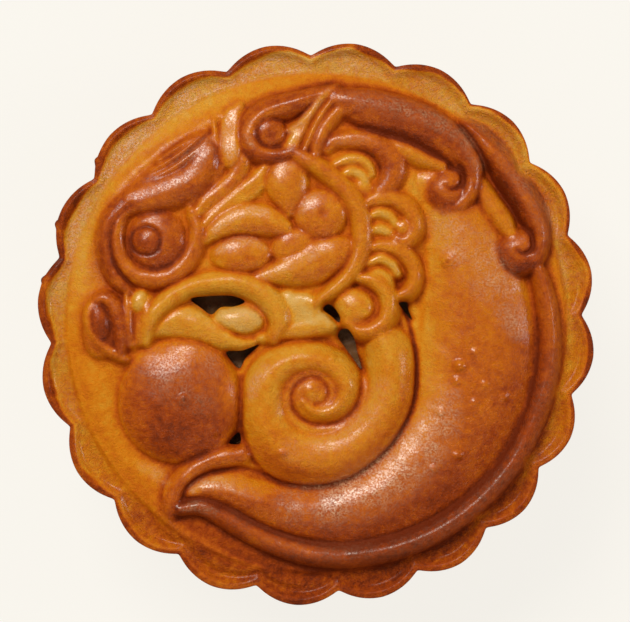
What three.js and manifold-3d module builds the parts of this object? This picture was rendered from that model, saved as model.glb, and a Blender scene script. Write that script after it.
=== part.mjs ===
// A baked round mooncake, in millimetres, +Z up.
// It stands on its flat base, with the origin at the middle of the base.
// The crust is one piece: a fluted case of twenty petals with a moulded figure on top,
// a curled beast that plays with a pearl. Between some folds of the figure the crust
// is open, and the dark filling shows.

import * as THREE from 'three';
import { mergeVertices } from 'three/addons/utils/BufferGeometryUtils.js';
import Module from 'manifold-3d';

// ------------------------------------------------------------ driving dimensions

const PETALS = 20;
const PETAL_CIRCLE = 30.7; // radius of the circle that the petals' arcs are centred on
const PETAL_RADIUS = 8.4;
const PETAL_TURN = 3; // degrees from the X axis to the first notch
const PETAL_DRIFT = 2.2; // degrees by which the hand-cut mould wanders round the rim
const PETAL_DRIFT_FROM = 240; // where the wander is largest, in degrees
const NOTCH_SOFTNESS = 0.25;
const OVALITY = 0.25; // the case is this much wider one way, and narrower the other way
const OVAL_TURN = 68; // degrees from the X axis to its wider way
const CASE_CENTRE = [0.04, 0.14]; // the rim's circle is a little off the middle of its outline

const TOP_LEVEL = 28.1; // height of the plain top between rim and figure
const TOP_CROWN = 0.4; // how much the plain top rises to its middle
const RIM_RISE = 0.9; // raised edge of each petal over the plain top
const RIM_HALF_WIDTH = 0.75;
const DISH_DEPTH = 0.35; // hollow of each petal inside its raised edge
const DISH_MIDDLE = 2.6; // distance of the hollow's middle from the petal's edge
const DISH_HALF_WIDTH = 1.5;

const FOLD_SPREAD = 0.15; // folds reach this far under their neighbours, so that creases stay shallow
const FOLD_ROUNDNESS = 0.65; // power of a fold's section: 0.5 is an ellipse, 1 a parabola

const CAVITY_RADIUS = 34;
const CAVITY_FLOOR = 3.2;
const CAVITY_CEILING = 26.2;
const CAVITY_ROUND = 5; // rounding of the cavity's corners
const FILLING_GAP = 0.3;
const GAP_CUT_TOP = 40; // the cutters of the open folds reach from inside the cavity to here
const GAP_CUT_FLOOR = 24;

// The side wall from the rim down: [height, distance inside the petal outline].
const WALL = [
  [26.6, 0.15], [23.5, 0.75], [14, 0.45], [5, 0.9], [1.4, 1.7], [0, 3.1],
];

// The top is measured on a lattice, and the whole surface is then simplified.
const LATTICE_STEPS = 150;
const ROUND_RINGS_TO = 0.75; // rings of the lattice are round up to here, then follow the petals
const ROUND_RING_RADIUS = 38.2;
const CASE_TRIANGLES = 7600;
const SHARE_PER_PASS = 0.12; // edges shrunk in one pass, as a share of the triangles
const STEEPEST_TURN = 0.35; // cosine of the largest turn of a face in one shrink
const ROUND_SEGMENTS = 40;

// ------------------------------------------------------------ strokes of the figure

const features = [];

// A rounded fold along a smooth line. Each point is [x, y, half width, share of the height].
function fold(height, points) {
  const full = points.map(([x, y, half, share = 1]) => new THREE.Vector4(x, y, half + FOLD_SPREAD, share));
  features.push({ height, line: smoothLine(full) });
}

// A rounded mound with an oval outline, turned by `tilt` degrees.
function mound(height, x, y, radiusX, radiusY = radiusX, tilt = 0) {
  features.push({ height, oval: { x, y, radiusX, radiusY, tilt: THREE.MathUtils.degToRad(tilt) } });
}

// Points on a spiral arc, for fold: radius and half width change evenly with the angle.
function turn(x, y, [radiusA, radiusB], [angleA, angleB], [halfA, halfB], steps = 9) {
  const points = [];
  for (let k = 0; k <= steps; k++) {
    const t = k / steps;
    const angle = THREE.MathUtils.degToRad(THREE.MathUtils.lerp(angleA, angleB, t));
    const radius = THREE.MathUtils.lerp(radiusA, radiusB, t);
    const half = THREE.MathUtils.lerp(halfA, halfB, t);
    points.push([x + radius * Math.cos(angle), y + radius * Math.sin(angle), half]);
  }
  return points;
}

// Catmull-Rom line through the points, with every coordinate of the point carried along.
function smoothLine(points, perSpan = 5) {
  const line = [];
  for (let i = 0; i < points.length - 1; i++) {
    const p1 = points[i];
    const p2 = points[i + 1];
    const p0 = points[i - 1] ?? p1.clone().multiplyScalar(2).sub(p2);
    const p3 = points[i + 2] ?? p2.clone().multiplyScalar(2).sub(p1);
    for (let k = 0; k < perSpan; k++) line.push(catmullRom(p0, p1, p2, p3, k / perSpan));
  }
  line.push(points[points.length - 1].clone());
  return line;
}

function catmullRom(p0, p1, p2, p3, t) {
  const result = p1.clone().multiplyScalar(2);
  result.addScaledVector(p2.clone().sub(p0), t);
  const square = p0.clone().multiplyScalar(2).addScaledVector(p1, -5).addScaledVector(p2, 4).sub(p3);
  const cube = p3.clone().sub(p0).addScaledVector(p1, 3).addScaledVector(p2, -3);
  return result.addScaledVector(square, t * t).addScaledVector(cube, t * t * t).multiplyScalar(0.5);
}

function bodyAndCoil() {
  fold(2.5, [
    [16.6, 20.2, 2.2, 0.6], [20.9, 11, 5.6, 0.95], [22.2, 4.6, 7.6], [22.8, -3.8, 8.5], [21, -12.8, 8.2],
    [16.2, -20, 7], [10, -24.8, 5.8], [1.7, -26.9, 4.7], [-6.7, -25.4, 4.2, 0.9], [-13.2, -23, 3.2, 0.8],
    [-18.2, -23.4, 1.2, 0.6],
  ]);
  fold(2.7, [ // ridge of the back
    [30, 8.2, 1.6, 0.8], [32.2, 2, 1.8], [32.7, -6.5, 1.8], [31.2, -13.2, 1.8], [27, -20.2, 1.8],
    [16.2, -28.9, 1.8], [3.8, -32.3, 2], [-5.6, -30.9, 1.9], [-13, -27, 1.5], [-18.4, -25.1, 0.9, 0.8],
  ]);
  fold(2, [ // folds where the tail begins
    [-20.6, -25.8, 0.8, 0.7], [-20.2, -22.9, 1], [-18.4, -20.6, 1.1], [-15.4, -19.2, 1],
    [-12.6, -18.2, 0.7, 0.6],
  ]);
  fold(2.8, [[-18.6, -23.4, 0.7, 0.7], [-16.2, -21.8, 0.9], [-9.5, -20.5, 1], [-3.4, -22.6, 0.6, 0.8]]);
  fold(3.0, [ // coil, from the neck round to its middle
    [10.3, 2.8, 2.6, 0.8], [10.1, -0.8, 3.5], [10.2, -4.6, 4], [10.4, -8.8, 3.9], [8, -13.9, 4.2],
    [3.8, -17.4, 4.4], [-0.4, -18, 4.4], [-4.4, -15.9, 4], [-6.6, -12.1, 3.8], [-6.9, -8.4, 3.5],
    [-5.2, -5.6, 2.9], [-1.8, -4.7, 2.5], [1.7, -5.3, 2.4], [3.8, -7.2, 2.4], [4.3, -9.8, 2.3],
    [3, -12, 1.9], [0.8, -12.8, 1.5], [-1.3, -12, 1.3],
  ]);
  mound(2.9, -0.8, -9.6, 2.1);
}

function pearl() {
  mound(3.3, -18.7, -10.7, 8.6);
}

function horns() {
  fold(2.3, [[8, 26, 1.4, 0.8], [11.5, 25.2, 1.6], [15, 24.2, 1.5], [17.6, 22.8, 1.3]]);
  fold(2, [[23.3, 19.5, 1.7, 0.9], [24.9, 16.7, 1.9], [26.5, 13.9, 1.8, 0.9]]);
  fold(2.9, [ // outer horn
    [19.4, 28, 1, 0.6], [22.6, 25.8, 1.5, 0.85], [25.2, 22.8, 1.8], [27.8, 19.6, 1.9], [29.8, 16.2, 1.9],
    [31, 12.6, 1.9], [31, 9.8, 1.7],
  ]);
  mound(3.2, 28.6, 10.2, 3.8);
  fold(3.1, [ // inner horn
    [2.6, 31, 1.6, 0.6], [5.2, 30.2, 2.6, 0.9], [9, 30, 2.8], [12.5, 28.9, 2.8], [16.2, 27.3, 2.6],
    [19, 25.3, 2.3], [21.2, 22.6, 2], [21.6, 19.6, 1.6],
  ]);
  mound(3.3, 19.1, 19.2, 3.9);
}

function maneScrolls() {
  fold(2.5, [ // upper scroll, with two ribs inside
    [1.9, 24.2, 1, 0.8], [4.4, 25.3, 1.3], [7.4, 25.5, 1.4], [10.2, 24.2, 1.5], [11.3, 21.6, 1.5],
    [10.6, 19.2, 1.4],
  ]);
  fold(2.2, [[2.8, 22.2, 0.7, 0.8], [5, 22.9, 0.8], [7.4, 22.8, 0.9], [8.6, 21.3, 1]]);
  fold(1.9, [[4.2, 20.9, 0.7, 0.8], [6.2, 21.1, 0.8], [7.6, 20, 0.9]]);
  fold(2.5, [ // middle scroll
    [6.6, 16.9, 0.8, 0.8], [12.1, 17, 1.2], [14.2, 15.4, 1.4], [14.7, 12.9, 1.4], [13.4, 11.2, 1.3],
    [11.9, 11.8, 1.1],
  ]);
  fold(2, [[7.8, 15.2, 0.6, 0.8], [9.9, 15.2, 0.7], [11.6, 14.4, 0.9]]);
  fold(1.8, [[8.1, 13.1, 0.5, 0.8], [9.6, 13, 0.6], [10.8, 12.3, 0.7]]);
  fold(2.4, [ // lower scroll
    [8.4, 10.6, 0.8, 0.8], [10.6, 9.6, 1], [12.7, 8, 1.2], [13.6, 5.9, 1.3], [12.6, 4.4, 1.2], [11.2, 5, 1],
  ]);
  fold(1.9, [[8, 8.8, 0.6, 0.8], [9.9, 8, 0.7], [11, 6.8, 0.7]]);
  mound(3.2, 7.4, 1.6, 4, 3.7);
  fold(3, [ // neck
    [-1.9, 24.2, 0.8, 0.8], [1.2, 22.4, 1.1], [3.9, 19.2, 1.2], [5.7, 15.6, 1.3], [6.4, 11.6, 1.4],
    [6, 8, 1.5], [4.6, 5.6, 1.5], [2.8, 4.2, 1.2], [1, 3.4, 0.8, 0.8],
  ]);
}

function cheekScales() {
  mound(2.3, -8.9, 14.4, 4.7, 2, 22);
  mound(2.5, -10.6, 9.4, 4.3, 2.3);
  mound(2.2, -3.2, 10.9, 3.2, 2.3, 10);
  mound(2.3, -3.9, 19, 3.5, 3.2, 30);
  mound(2.5, 0.6, 15.2, 3.3, 3.2);
  mound(2.5, -1.2, 7.4, 6.2, 2.9, 24);
}

function foreheadScroll() {
  fold(2.8, [
    [3.2, 32.2, 1.2, 0.7], [-0.8, 31.6, 1.4], [-4.6, 30.4, 1.5], [-7.8, 28.6, 1.5], [-9.3, 26, 1.45],
    [-8.2, 23.9, 1.5], [-6, 23.1, 1.4], [-3.9, 24, 1.2],
  ]);
  mound(2.7, -5.9, 26.4, 2.1);
  fold(2.6, [[1.9, 31.5, 0.5], [-0.4, 28.5, 0.5], [-2.1, 24.6, 0.5]]);
  fold(2.6, [[3.5, 29.4, 0.5], [1, 26.9, 0.5], [-0.7, 24.6, 0.5]]);
}

function browAndEye() {
  const eye = [-22.4, 11.3];
  fold(2.4, [[-10.4, 24, 1, 0.8], [-12.3, 19.8, 1.1], [-14.8, 17.4, 1.1], [-17.2, 15.8, 1]]);
  fold(2.2, [[-7.9, 21.6, 0.8, 0.8], [-10.2, 18.7, 0.9], [-12.9, 16.6, 0.9], [-15.4, 14.4, 0.9]]);
  fold(2, [[-7, 19.9, 0.7, 0.8], [-8.8, 17.8, 0.7], [-11.3, 16, 0.7], [-14.8, 12.4, 0.7]]);
  fold(2.5, [
    [-28, 12.4, 2.2, 0.9], [-26.8, 15.8, 2.8], [-23.2, 19.4, 3.2], [-19, 22.2, 3.2], [-15.6, 25, 2.8],
    [-12.6, 28, 1.8, 0.9], [-11, 30, 0.9, 0.6],
  ]);
  fold(3.1, [ // ridge along the brow
    [-27, 14.4, 1.1, 0.9], [-24.6, 17.2, 1.1], [-20.6, 18.9, 1.1], [-17.1, 20.6, 1.1], [-14.6, 22.9, 0.9],
  ]);
  fold(2.7, turn(...eye, [6.9, 6.6], [125, 250], [1.3, 1.3]));
  fold(2.8, turn(...eye, [5.4, 5.6], [160, 395], [0.9, 0.9], 12));
  mound(2.4, -22.3, 11.7, 4.6);
  fold(2.9, turn(...eye, [3.3, 3.3], [0, 360], [1, 1], 14));
  mound(3.1, -23, 11.2, 1.9);
}

function nose() {
  fold(2.5, [
    [-31.9, 3.2, 0.9, 0.8], [-30, 4.2, 1.1], [-27.9, 2.6, 1.1], [-27, 0, 1.1], [-26.9, -4.6, 0.9, 0.8],
  ]);
  mound(2.9, -30.3, 0.6, 1.6, 3, 8);
  fold(2.1, [[-32.4, 1.4, 0.8, 0.8], [-31.2, -1.8, 0.9], [-29.4, -3.6, 0.9], [-27.4, -5, 0.8, 0.8]]);
  fold(2.3, [[-25.6, 4, 0.9, 0.8], [-25, 1.2, 0.9], [-24.6, -2.6, 0.9]]);
  fold(2.5, [[-26.2, 4.9, 0.8, 0.8], [-24.2, 4.3, 1], [-22, 3.6, 0.8]]);
}

function mouth() {
  fold(2.1, [ // lower jaw
    [-20.8, 0.7, 2], [-18.2, 0.7, 2.6], [-16, 0.3, 2.3], [-14.1, -0.7, 1.8], [-12.1, -2.1, 1.2],
    [-10.7, -2.8, 0.7],
  ]);
  mound(2.3, -10.5, 0.7, 3.4, 2, -8);
  fold(2.1, [[-7.6, -3.1, 0.7, 0.8], [-4.6, -1.6, 1.3], [-1, -0.5, 1.5], [2, -0.3, 1.1, 0.8]]);
  fold(2.4, [[-6.2, 0.6, 1, 0.8], [-3.6, 1.4, 1.8], [-0.4, 2, 1.4], [1.4, 2.6, 0.8, 0.8]]);
  fold(2.9, [ // upper lip
    [-23.9, -3.4, 0.9, 0.8], [-23.2, -0.2, 1.1], [-21.7, 2.6, 1.2], [-18.9, 4.9, 1.3], [-15.4, 5.7, 1.3],
    [-11.6, 5.7, 1.4], [-8.6, 4.4, 1.5], [-6.4, 2.2, 1.5], [-5.9, -0.2, 1.4], [-6.8, -1.9, 1, 0.8],
  ]);
}

// Outlines of the open folds, [x, y], each closed by a smooth line.
const OPEN_FOLDS = [
  [[-17.4, 3.5], [-15.7, 3.9], [-11.8, 4], [-9.9, 3.2], [-11.3, 2.5], [-13.2, 2.4], [-14.5, 1.4], [-16, 2.3]],
  [[-12.5, -3.8], [-10.2, -3.6], [-7.9, -2.8], [-9.8, -4.7], [-10.6, -6.1], [-11.6, -5.4]],
  [[1, 2.1], [1.6, 2.8], [2.4, 2.5], [3.3, 1.2], [3.2, 0.3], [2.1, 1.2]],
  [[3.3, -1.2], [4, -0.6], [5, -1.5], [5.9, -3.1], [6.4, -6.3], [4.7, -3.4]],
  [[-12.1, -16.5], [-11, -15.1], [-10.5, -15.4], [-10.6, -16.6]],
  [[11.5, 3], [12.7, 3.1], [12.9, 2.1], [13.4, 0.6], [12.2, 2]],
];

// ------------------------------------------------------------ heights

// Share of a fold's height left at `u`, the distance from its crest over its half width.
function roundness(u) {
  return u < 1 ? Math.pow(1 - u * u, FOLD_ROUNDNESS) : 0;
}

function ovalRise({ x, y, radiusX, radiusY, tilt }, px, py) {
  const dx = px - x;
  const dy = py - y;
  const along = (dx * Math.cos(tilt) + dy * Math.sin(tilt)) / radiusX;
  const across = (dy * Math.cos(tilt) - dx * Math.sin(tilt)) / radiusY;
  return roundness(Math.hypot(along, across));
}

function lineRise(line, px, py) {
  let best = 0;
  for (let i = 0; i < line.length - 1; i++) {
    const a = line[i];
    const b = line[i + 1];
    const dx = b.x - a.x;
    const dy = b.y - a.y;
    const t = THREE.MathUtils.clamp(((px - a.x) * dx + (py - a.y) * dy) / (dx * dx + dy * dy), 0, 1);
    const distance = Math.hypot(px - a.x - t * dx, py - a.y - t * dy);
    const rise = roundness(distance / (a.z + (b.z - a.z) * t)) * (a.w + (b.w - a.w) * t);
    if (rise > best) best = rise;
  }
  return best;
}

function figureHeight(x, y) {
  let height = 0;
  for (const { height: full, line, oval } of features) {
    height = Math.max(height, full * (line ? lineRise(line, x, y) : ovalRise(oval, x, y)));
  }
  return height;
}

// Radius of the petal outline at an angle: an arc in each petal, softened in the notches.
function petalOutline(angle) {
  const step = (2 * Math.PI) / PETALS;
  const wander = PETAL_DRIFT * Math.cos(angle - THREE.MathUtils.degToRad(PETAL_DRIFT_FROM));
  const first = THREE.MathUtils.degToRad(PETAL_TURN + wander);
  const inPetal = ((((angle - first) % step) + step) % step) - step / 2;
  const sideways = PETAL_CIRCLE * Math.sin(Math.abs(inPetal));
  const notch = PETAL_CIRCLE * Math.sin(step / 2);
  const soft = notch - Math.sqrt((notch - sideways) ** 2 + NOTCH_SOFTNESS ** 2) + NOTCH_SOFTNESS;
  const oval = OVALITY * Math.cos(2 * (angle - THREE.MathUtils.degToRad(OVAL_TURN)));
  return PETAL_CIRCLE * Math.cos(inPetal) + Math.sqrt(PETAL_RADIUS ** 2 - soft ** 2) + oval;
}

function hump(distance, middle, halfWidth) {
  const u = (distance - middle) / halfWidth;
  return Math.exp(-u * u);
}

function topHeight(x, y) {
  const dx = x - CASE_CENTRE[0];
  const dy = y - CASE_CENTRE[1];
  const radius = Math.hypot(dx, dy);
  const outline = petalOutline(Math.atan2(dy, dx));
  const inside = outline - radius;
  const plain = TOP_LEVEL + TOP_CROWN * (1 - (radius / outline) ** 2);
  const rim = RIM_RISE * hump(inside, RIM_HALF_WIDTH, RIM_HALF_WIDTH);
  const dish = DISH_DEPTH * hump(inside, DISH_MIDDLE, DISH_HALF_WIDTH);
  return plain + rim - dish + figureHeight(x, y);
}

// ------------------------------------------------------------ crust

// Square lattice position to the round top: rings of the square become rings of the cake.
function latticePoint(column, row) {
  const u = (2 * column) / LATTICE_STEPS - 1;
  const v = (2 * row) / LATTICE_STEPS - 1;
  const ring = Math.max(Math.abs(u), Math.abs(v));
  const angle = ring === 0 ? 0 : squareAngle(u, v, ring);
  const fluted = THREE.MathUtils.smoothstep(ring, ROUND_RINGS_TO, 1);
  const reach = THREE.MathUtils.lerp(ROUND_RING_RADIUS, petalOutline(angle), fluted);
  const x = CASE_CENTRE[0] + ring * reach * Math.cos(angle);
  const y = CASE_CENTRE[1] + ring * reach * Math.sin(angle);
  return [x, y, topHeight(x, y)];
}

function squareAngle(u, v, ring) {
  const quarter = Math.PI / 4;
  if (u === ring) return (quarter * v) / ring;
  if (v === ring) return quarter * (2 - u / ring);
  if (u === -ring) return quarter * (4 - v / ring);
  return quarter * (6 + u / ring);
}

// Lattice indices along the square's edge, counter-clockwise from its lower left corner.
function edgeLoop() {
  const loop = [];
  const last = LATTICE_STEPS;
  for (let k = 0; k < last; k++) loop.push(latticeIndex(k, 0));
  for (let k = 0; k < last; k++) loop.push(latticeIndex(last, k));
  for (let k = last; k > 0; k--) loop.push(latticeIndex(k, last));
  for (let k = last; k > 0; k--) loop.push(latticeIndex(0, k));
  return loop;
}

function latticeIndex(column, row) {
  return row * (LATTICE_STEPS + 1) + column;
}

// The closed outside of the cake: moulded top, fluted wall and flat base.
function caseSurface() {
  const points = [];
  const triangles = [];
  for (let row = 0; row <= LATTICE_STEPS; row++) {
    for (let column = 0; column <= LATTICE_STEPS; column++) points.push(latticePoint(column, row));
  }
  for (let row = 0; row < LATTICE_STEPS; row++) {
    for (let column = 0; column < LATTICE_STEPS; column++) {
      const corners = [[0, 0], [1, 0], [1, 1], [0, 1]].map(([i, j]) => latticeIndex(column + i, row + j));
      triangles.push([corners[0], corners[1], corners[2]], [corners[0], corners[2], corners[3]]);
    }
  }
  const loop = edgeLoop();
  let above = loop;
  for (const [height, inside] of WALL) {
    const ring = loop.map((index) => points.push(wallPoint(points[index], height, inside)) - 1);
    ring.forEach((below, k) => {
      const next = (k + 1) % ring.length;
      triangles.push([above[k], below, ring[next]], [above[k], ring[next], above[next]]);
    });
    above = ring;
  }
  const middle = points.push([...CASE_CENTRE, 0]) - 1;
  above.forEach((index, k) => triangles.push([index, middle, above[(k + 1) % above.length]]));
  return { points, triangles };
}

function wallPoint([x, y], height, inside) {
  const dx = x - CASE_CENTRE[0];
  const dy = y - CASE_CENTRE[1];
  const shrink = 1 - inside / Math.hypot(dx, dy);
  return [CASE_CENTRE[0] + dx * shrink, CASE_CENTRE[1] + dy * shrink, height];
}

// ------------------------------------------------------------ fewer triangles

const subtract = (p, q) => [p[0] - q[0], p[1] - q[1], p[2] - q[2]];
const dot = (p, q) => p[0] * q[0] + p[1] * q[1] + p[2] * q[2];
const cross = (p, q) => [p[1] * q[2] - p[2] * q[1], p[2] * q[0] - p[0] * q[2], p[0] * q[1] - p[1] * q[0]];

function faceNormal(points, [a, b, c]) {
  return cross(subtract(points[b], points[a]), subtract(points[c], points[a]));
}

// Sums over the planes round each point, from which squared distances to them follow.
function planeSums(points, faces) {
  const sums = points.map(() => new Float64Array(10));
  for (const face of faces) {
    const normal = faceNormal(points, face);
    const area = Math.hypot(...normal) || 1;
    const [a, b, c] = normal.map((value) => value / area);
    const d = -(a * points[face[0]][0] + b * points[face[0]][1] + c * points[face[0]][2]);
    const terms = [a * a, a * b, a * c, a * d, b * b, b * c, b * d, c * c, c * d, d * d];
    for (const corner of face) terms.forEach((term, k) => { sums[corner][k] += term * area; });
  }
  return sums;
}

function planeMiss(q, r, [x, y, z]) {
  const s = (k) => q[k] + r[k];
  return s(0) * x * x + s(4) * y * y + s(7) * z * z + s(9)
    + 2 * (s(1) * x * y + s(2) * x * z + s(3) * x + s(5) * y * z + s(6) * y + s(8) * z);
}

// Every edge once, with the best place for the point it would shrink to.
function rankedEdges(points, faces, sums) {
  const edges = [];
  for (const face of faces) {
    face.forEach((a, k) => {
      const b = face[(k + 1) % 3];
      if (a > b) return;
      const middle = points[a].map((value, axis) => (value + points[b][axis]) / 2);
      const places = [middle, points[a], points[b]];
      const misses = places.map((place) => [planeMiss(sums[a], sums[b], place), place]);
      const [miss, place] = misses.reduce((best, choice) => (choice[0] < best[0] ? choice : best));
      edges.push({ a, b, place, miss });
    });
  }
  return edges.sort((p, q) => p.miss - q.miss);
}

// True if the faces round an edge stay closed and none turns over when it shrinks.
function mayShrink(points, facesAt, { a, b, place }) {
  const ring = (corner) => new Set(facesAt[corner].flat().filter((other) => other !== corner));
  const ringB = ring(b);
  if ([...ring(a)].filter((other) => ringB.has(other)).length !== 2) return false;
  return [...facesAt[a], ...facesAt[b]].every((face) => {
    if (face.includes(a) && face.includes(b)) return true;
    const moved = face.map((corner) => (corner === a || corner === b ? place : points[corner]));
    const before = faceNormal(points, face);
    const after = cross(subtract(moved[1], moved[0]), subtract(moved[2], moved[0]));
    return dot(before, after) > STEEPEST_TURN * Math.hypot(...before) * Math.hypot(...after);
  });
}

// Shrinks the edges that matter least until `wanted` triangles are left.
function simplify({ points, triangles }, wanted) {
  const sums = planeSums(points, triangles);
  let faces = triangles;
  while (faces.length > wanted) {
    const facesAt = points.map(() => []);
    for (const face of faces) for (const corner of face) facesAt[corner].push(face);
    const touched = new Uint8Array(points.length);
    const merged = new Map();
    const most = Math.min((faces.length - wanted) / 2, faces.length * SHARE_PER_PASS);
    for (const edge of rankedEdges(points, faces, sums)) {
      if (merged.size >= most) break;
      const { a, b, place } = edge;
      if (touched[a] || touched[b] || !mayShrink(points, facesAt, edge)) continue;
      for (const corner of [...facesAt[a], ...facesAt[b]].flat()) touched[corner] = 1;
      points[a] = place;
      sums[b].forEach((value, k) => { sums[a][k] += value; });
      merged.set(b, a);
    }
    if (merged.size === 0) break;
    faces = faces.map((face) => face.map((corner) => merged.get(corner) ?? corner));
    faces = faces.filter(([a, b, c]) => a !== b && b !== c && c !== a);
  }
  return { points, triangles: faces };
}

function caseGeometry() {
  const { points, triangles } = simplify(caseSurface(), CASE_TRIANGLES);
  const geometry = new THREE.BufferGeometry();
  const corners = triangles.flat().flatMap((index) => points[index]);
  geometry.setAttribute('position', new THREE.Float32BufferAttribute(corners, 3));
  return geometry;
}

// A disc with rounded corners, turned about the cake's middle.
function discGeometry(radius, floor, ceiling, round) {
  const corner = (height, from, to) => Array.from({ length: 5 }, (_, k) => {
    const angle = THREE.MathUtils.degToRad(THREE.MathUtils.lerp(from, to, k / 4));
    return new THREE.Vector2(radius - round + round * Math.cos(angle), height + round * Math.sin(angle));
  });
  const profile = [
    new THREE.Vector2(0, floor),
    ...corner(floor + round, -90, 0),
    ...corner(ceiling - round, 0, 90),
    new THREE.Vector2(0, ceiling),
  ];
  return new THREE.LatheGeometry(profile, ROUND_SEGMENTS).rotateX(Math.PI / 2);
}

function gapCutter(outline) {
  const curve = new THREE.CatmullRomCurve3(outline.map(([x, y]) => new THREE.Vector3(x, y, 0)), true);
  const rim = curve.getPoints(outline.length * 2).slice(0, -1);
  const shape = new THREE.Shape(rim.map(({ x, y }) => new THREE.Vector2(x, y)));
  const depth = GAP_CUT_TOP - GAP_CUT_FLOOR;
  return new THREE.ExtrudeGeometry(shape, { depth, bevelEnabled: false }).translate(0, 0, GAP_CUT_FLOOR);
}

// ------------------------------------------------------------ solids

const wasm = await Module();
wasm.setup();

function toSolid(geometry) {
  const bare = geometry.clone();
  bare.deleteAttribute('normal');
  bare.deleteAttribute('uv');
  const merged = mergeVertices(bare, 1e-4);
  const vertProperties = new Float32Array(merged.getAttribute('position').array);
  const triVerts = new Uint32Array(merged.getIndex().array);
  return new wasm.Manifold(new wasm.Mesh({ numProp: 3, vertProperties, triVerts }));
}

function toGeometry(solid) {
  const { vertProperties, triVerts } = solid.getMesh();
  const geometry = new THREE.BufferGeometry();
  geometry.setAttribute('position', new THREE.BufferAttribute(vertProperties, 3));
  geometry.setIndex(new THREE.BufferAttribute(triVerts, 1));
  geometry.computeVertexNormals();
  return geometry;
}

function crustMaterial() {
  return new THREE.MeshStandardMaterial({ color: 0xc97a2c, roughness: 0.42, metalness: 0 });
}

function fillingMaterial() {
  return new THREE.MeshStandardMaterial({ color: 0x2e2018, roughness: 0.3, metalness: 0 });
}

function crust() {
  let solid = toSolid(caseGeometry());
  solid = solid.subtract(toSolid(discGeometry(CAVITY_RADIUS, CAVITY_FLOOR, CAVITY_CEILING, CAVITY_ROUND)));
  for (const outline of OPEN_FOLDS) solid = solid.subtract(toSolid(gapCutter(outline)));
  const mesh = new THREE.Mesh(toGeometry(solid), crustMaterial());
  mesh.name = 'crust';
  return mesh;
}

function filling() {
  const radius = CAVITY_RADIUS - FILLING_GAP;
  const floor = CAVITY_FLOOR + FILLING_GAP;
  const ceiling = CAVITY_CEILING - FILLING_GAP;
  const geometry = discGeometry(radius, floor, ceiling, CAVITY_ROUND - FILLING_GAP);
  const mesh = new THREE.Mesh(geometry, fillingMaterial());
  mesh.name = 'filling';
  return mesh;
}

bodyAndCoil();
pearl();
horns();
maneScrolls();
cheekScales();
foreheadScroll();
browAndEye();
nose();
mouth();

const mooncake = new THREE.Group();
mooncake.add(crust(), filling());

export default mooncake;
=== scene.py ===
"""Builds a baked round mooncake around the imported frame, in metres, +Z up.

The crust is one piece of dough. A Geometry Nodes tree bends a lattice into the fluted case of
twenty petals. A curled beast with a pearl is then raised on its top, fold by fold, and the open
folds are cut through to the hollow that holds the filling. The filling is a disc of dark paste.
Sizes of the figure are in millimetres from the middle of the cake, sizes of the case in metres.
"""

from math import cos, pi, radians, sin

import bmesh
import bpy
import numpy as np
from bpy.props import FloatProperty, FloatVectorProperty, IntProperty, PointerProperty
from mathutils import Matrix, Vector


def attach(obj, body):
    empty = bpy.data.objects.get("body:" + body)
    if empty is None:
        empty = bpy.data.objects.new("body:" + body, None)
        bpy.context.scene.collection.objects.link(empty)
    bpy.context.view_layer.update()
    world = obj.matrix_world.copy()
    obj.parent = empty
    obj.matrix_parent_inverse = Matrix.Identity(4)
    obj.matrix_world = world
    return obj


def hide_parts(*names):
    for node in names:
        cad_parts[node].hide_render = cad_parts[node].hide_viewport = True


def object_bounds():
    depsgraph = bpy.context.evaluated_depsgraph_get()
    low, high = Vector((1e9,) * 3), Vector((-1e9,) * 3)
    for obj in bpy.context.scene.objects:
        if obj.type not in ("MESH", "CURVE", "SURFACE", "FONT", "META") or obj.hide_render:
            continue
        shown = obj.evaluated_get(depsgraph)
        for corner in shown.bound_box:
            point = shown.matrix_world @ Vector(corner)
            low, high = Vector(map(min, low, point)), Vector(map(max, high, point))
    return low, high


bl_info = {
    "name": "Mooncake",
    "version": (1, 0, 0),
    "blender": (4, 5, 0),
    "location": "3D View > Sidebar > Mooncake",
    "description": "Makes a moulded mooncake with its filling, and a plain stage",
    "category": "Add Mesh",
}

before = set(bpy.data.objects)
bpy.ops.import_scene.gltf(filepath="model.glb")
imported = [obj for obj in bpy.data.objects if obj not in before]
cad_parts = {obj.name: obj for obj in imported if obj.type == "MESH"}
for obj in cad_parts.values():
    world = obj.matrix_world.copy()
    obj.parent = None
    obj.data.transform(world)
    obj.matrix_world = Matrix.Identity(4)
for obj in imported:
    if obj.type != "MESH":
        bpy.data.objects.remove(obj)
CAD_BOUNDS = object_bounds()
MM = 0.001

# ---------------------------------------------------------------- sizes that stay in the code
# Lengths are in millimetres where no other unit is given.

LATTICE_STEPS = 460  # squares along one side of the lattice that becomes the top
LATTICE_VALUES = ("turn", "ring", "wall", "level", "inset")  # what the lattice's points carry
CRUST_TRIANGLES = 192000
GRID_STEP = 0.1  # spacing of the grid that the figure is worked out on
GRID_HALF = 40.0
LINE_STEPS = 6  # steps between two points of a fold's line
OUTLINE_STEPS = 4  # steps between two points of an open fold's outline

ROUND_RINGS_TO = 0.75  # rings of the lattice are round up to here, then follow the petals
ROUND_RING_RADIUS = 0.0382  # metres

# The side wall from the rim down: height and distance inside the petal outline.
WALL = [
    (27.7, 0.03), (27.3, 0.07), (26.7, 0.14), (25.9, 0.28), (24.6, 0.55), (22.5, 0.78), (20, 0.74),
    (17, 0.58), (14, 0.46), (11, 0.5), (8, 0.62), (5, 0.85), (3, 1.15), (1.6, 1.6), (0.7, 2.1),
    (0.2, 2.65), (0, 3.2),
]
BASE_RINGS = (0.85, 0.6, 0.3)  # rings of the flat base, as shares of its outline
FIGURE_EDGE = (1.6, 3.0)  # the figure fades out between these distances from the outline

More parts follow.
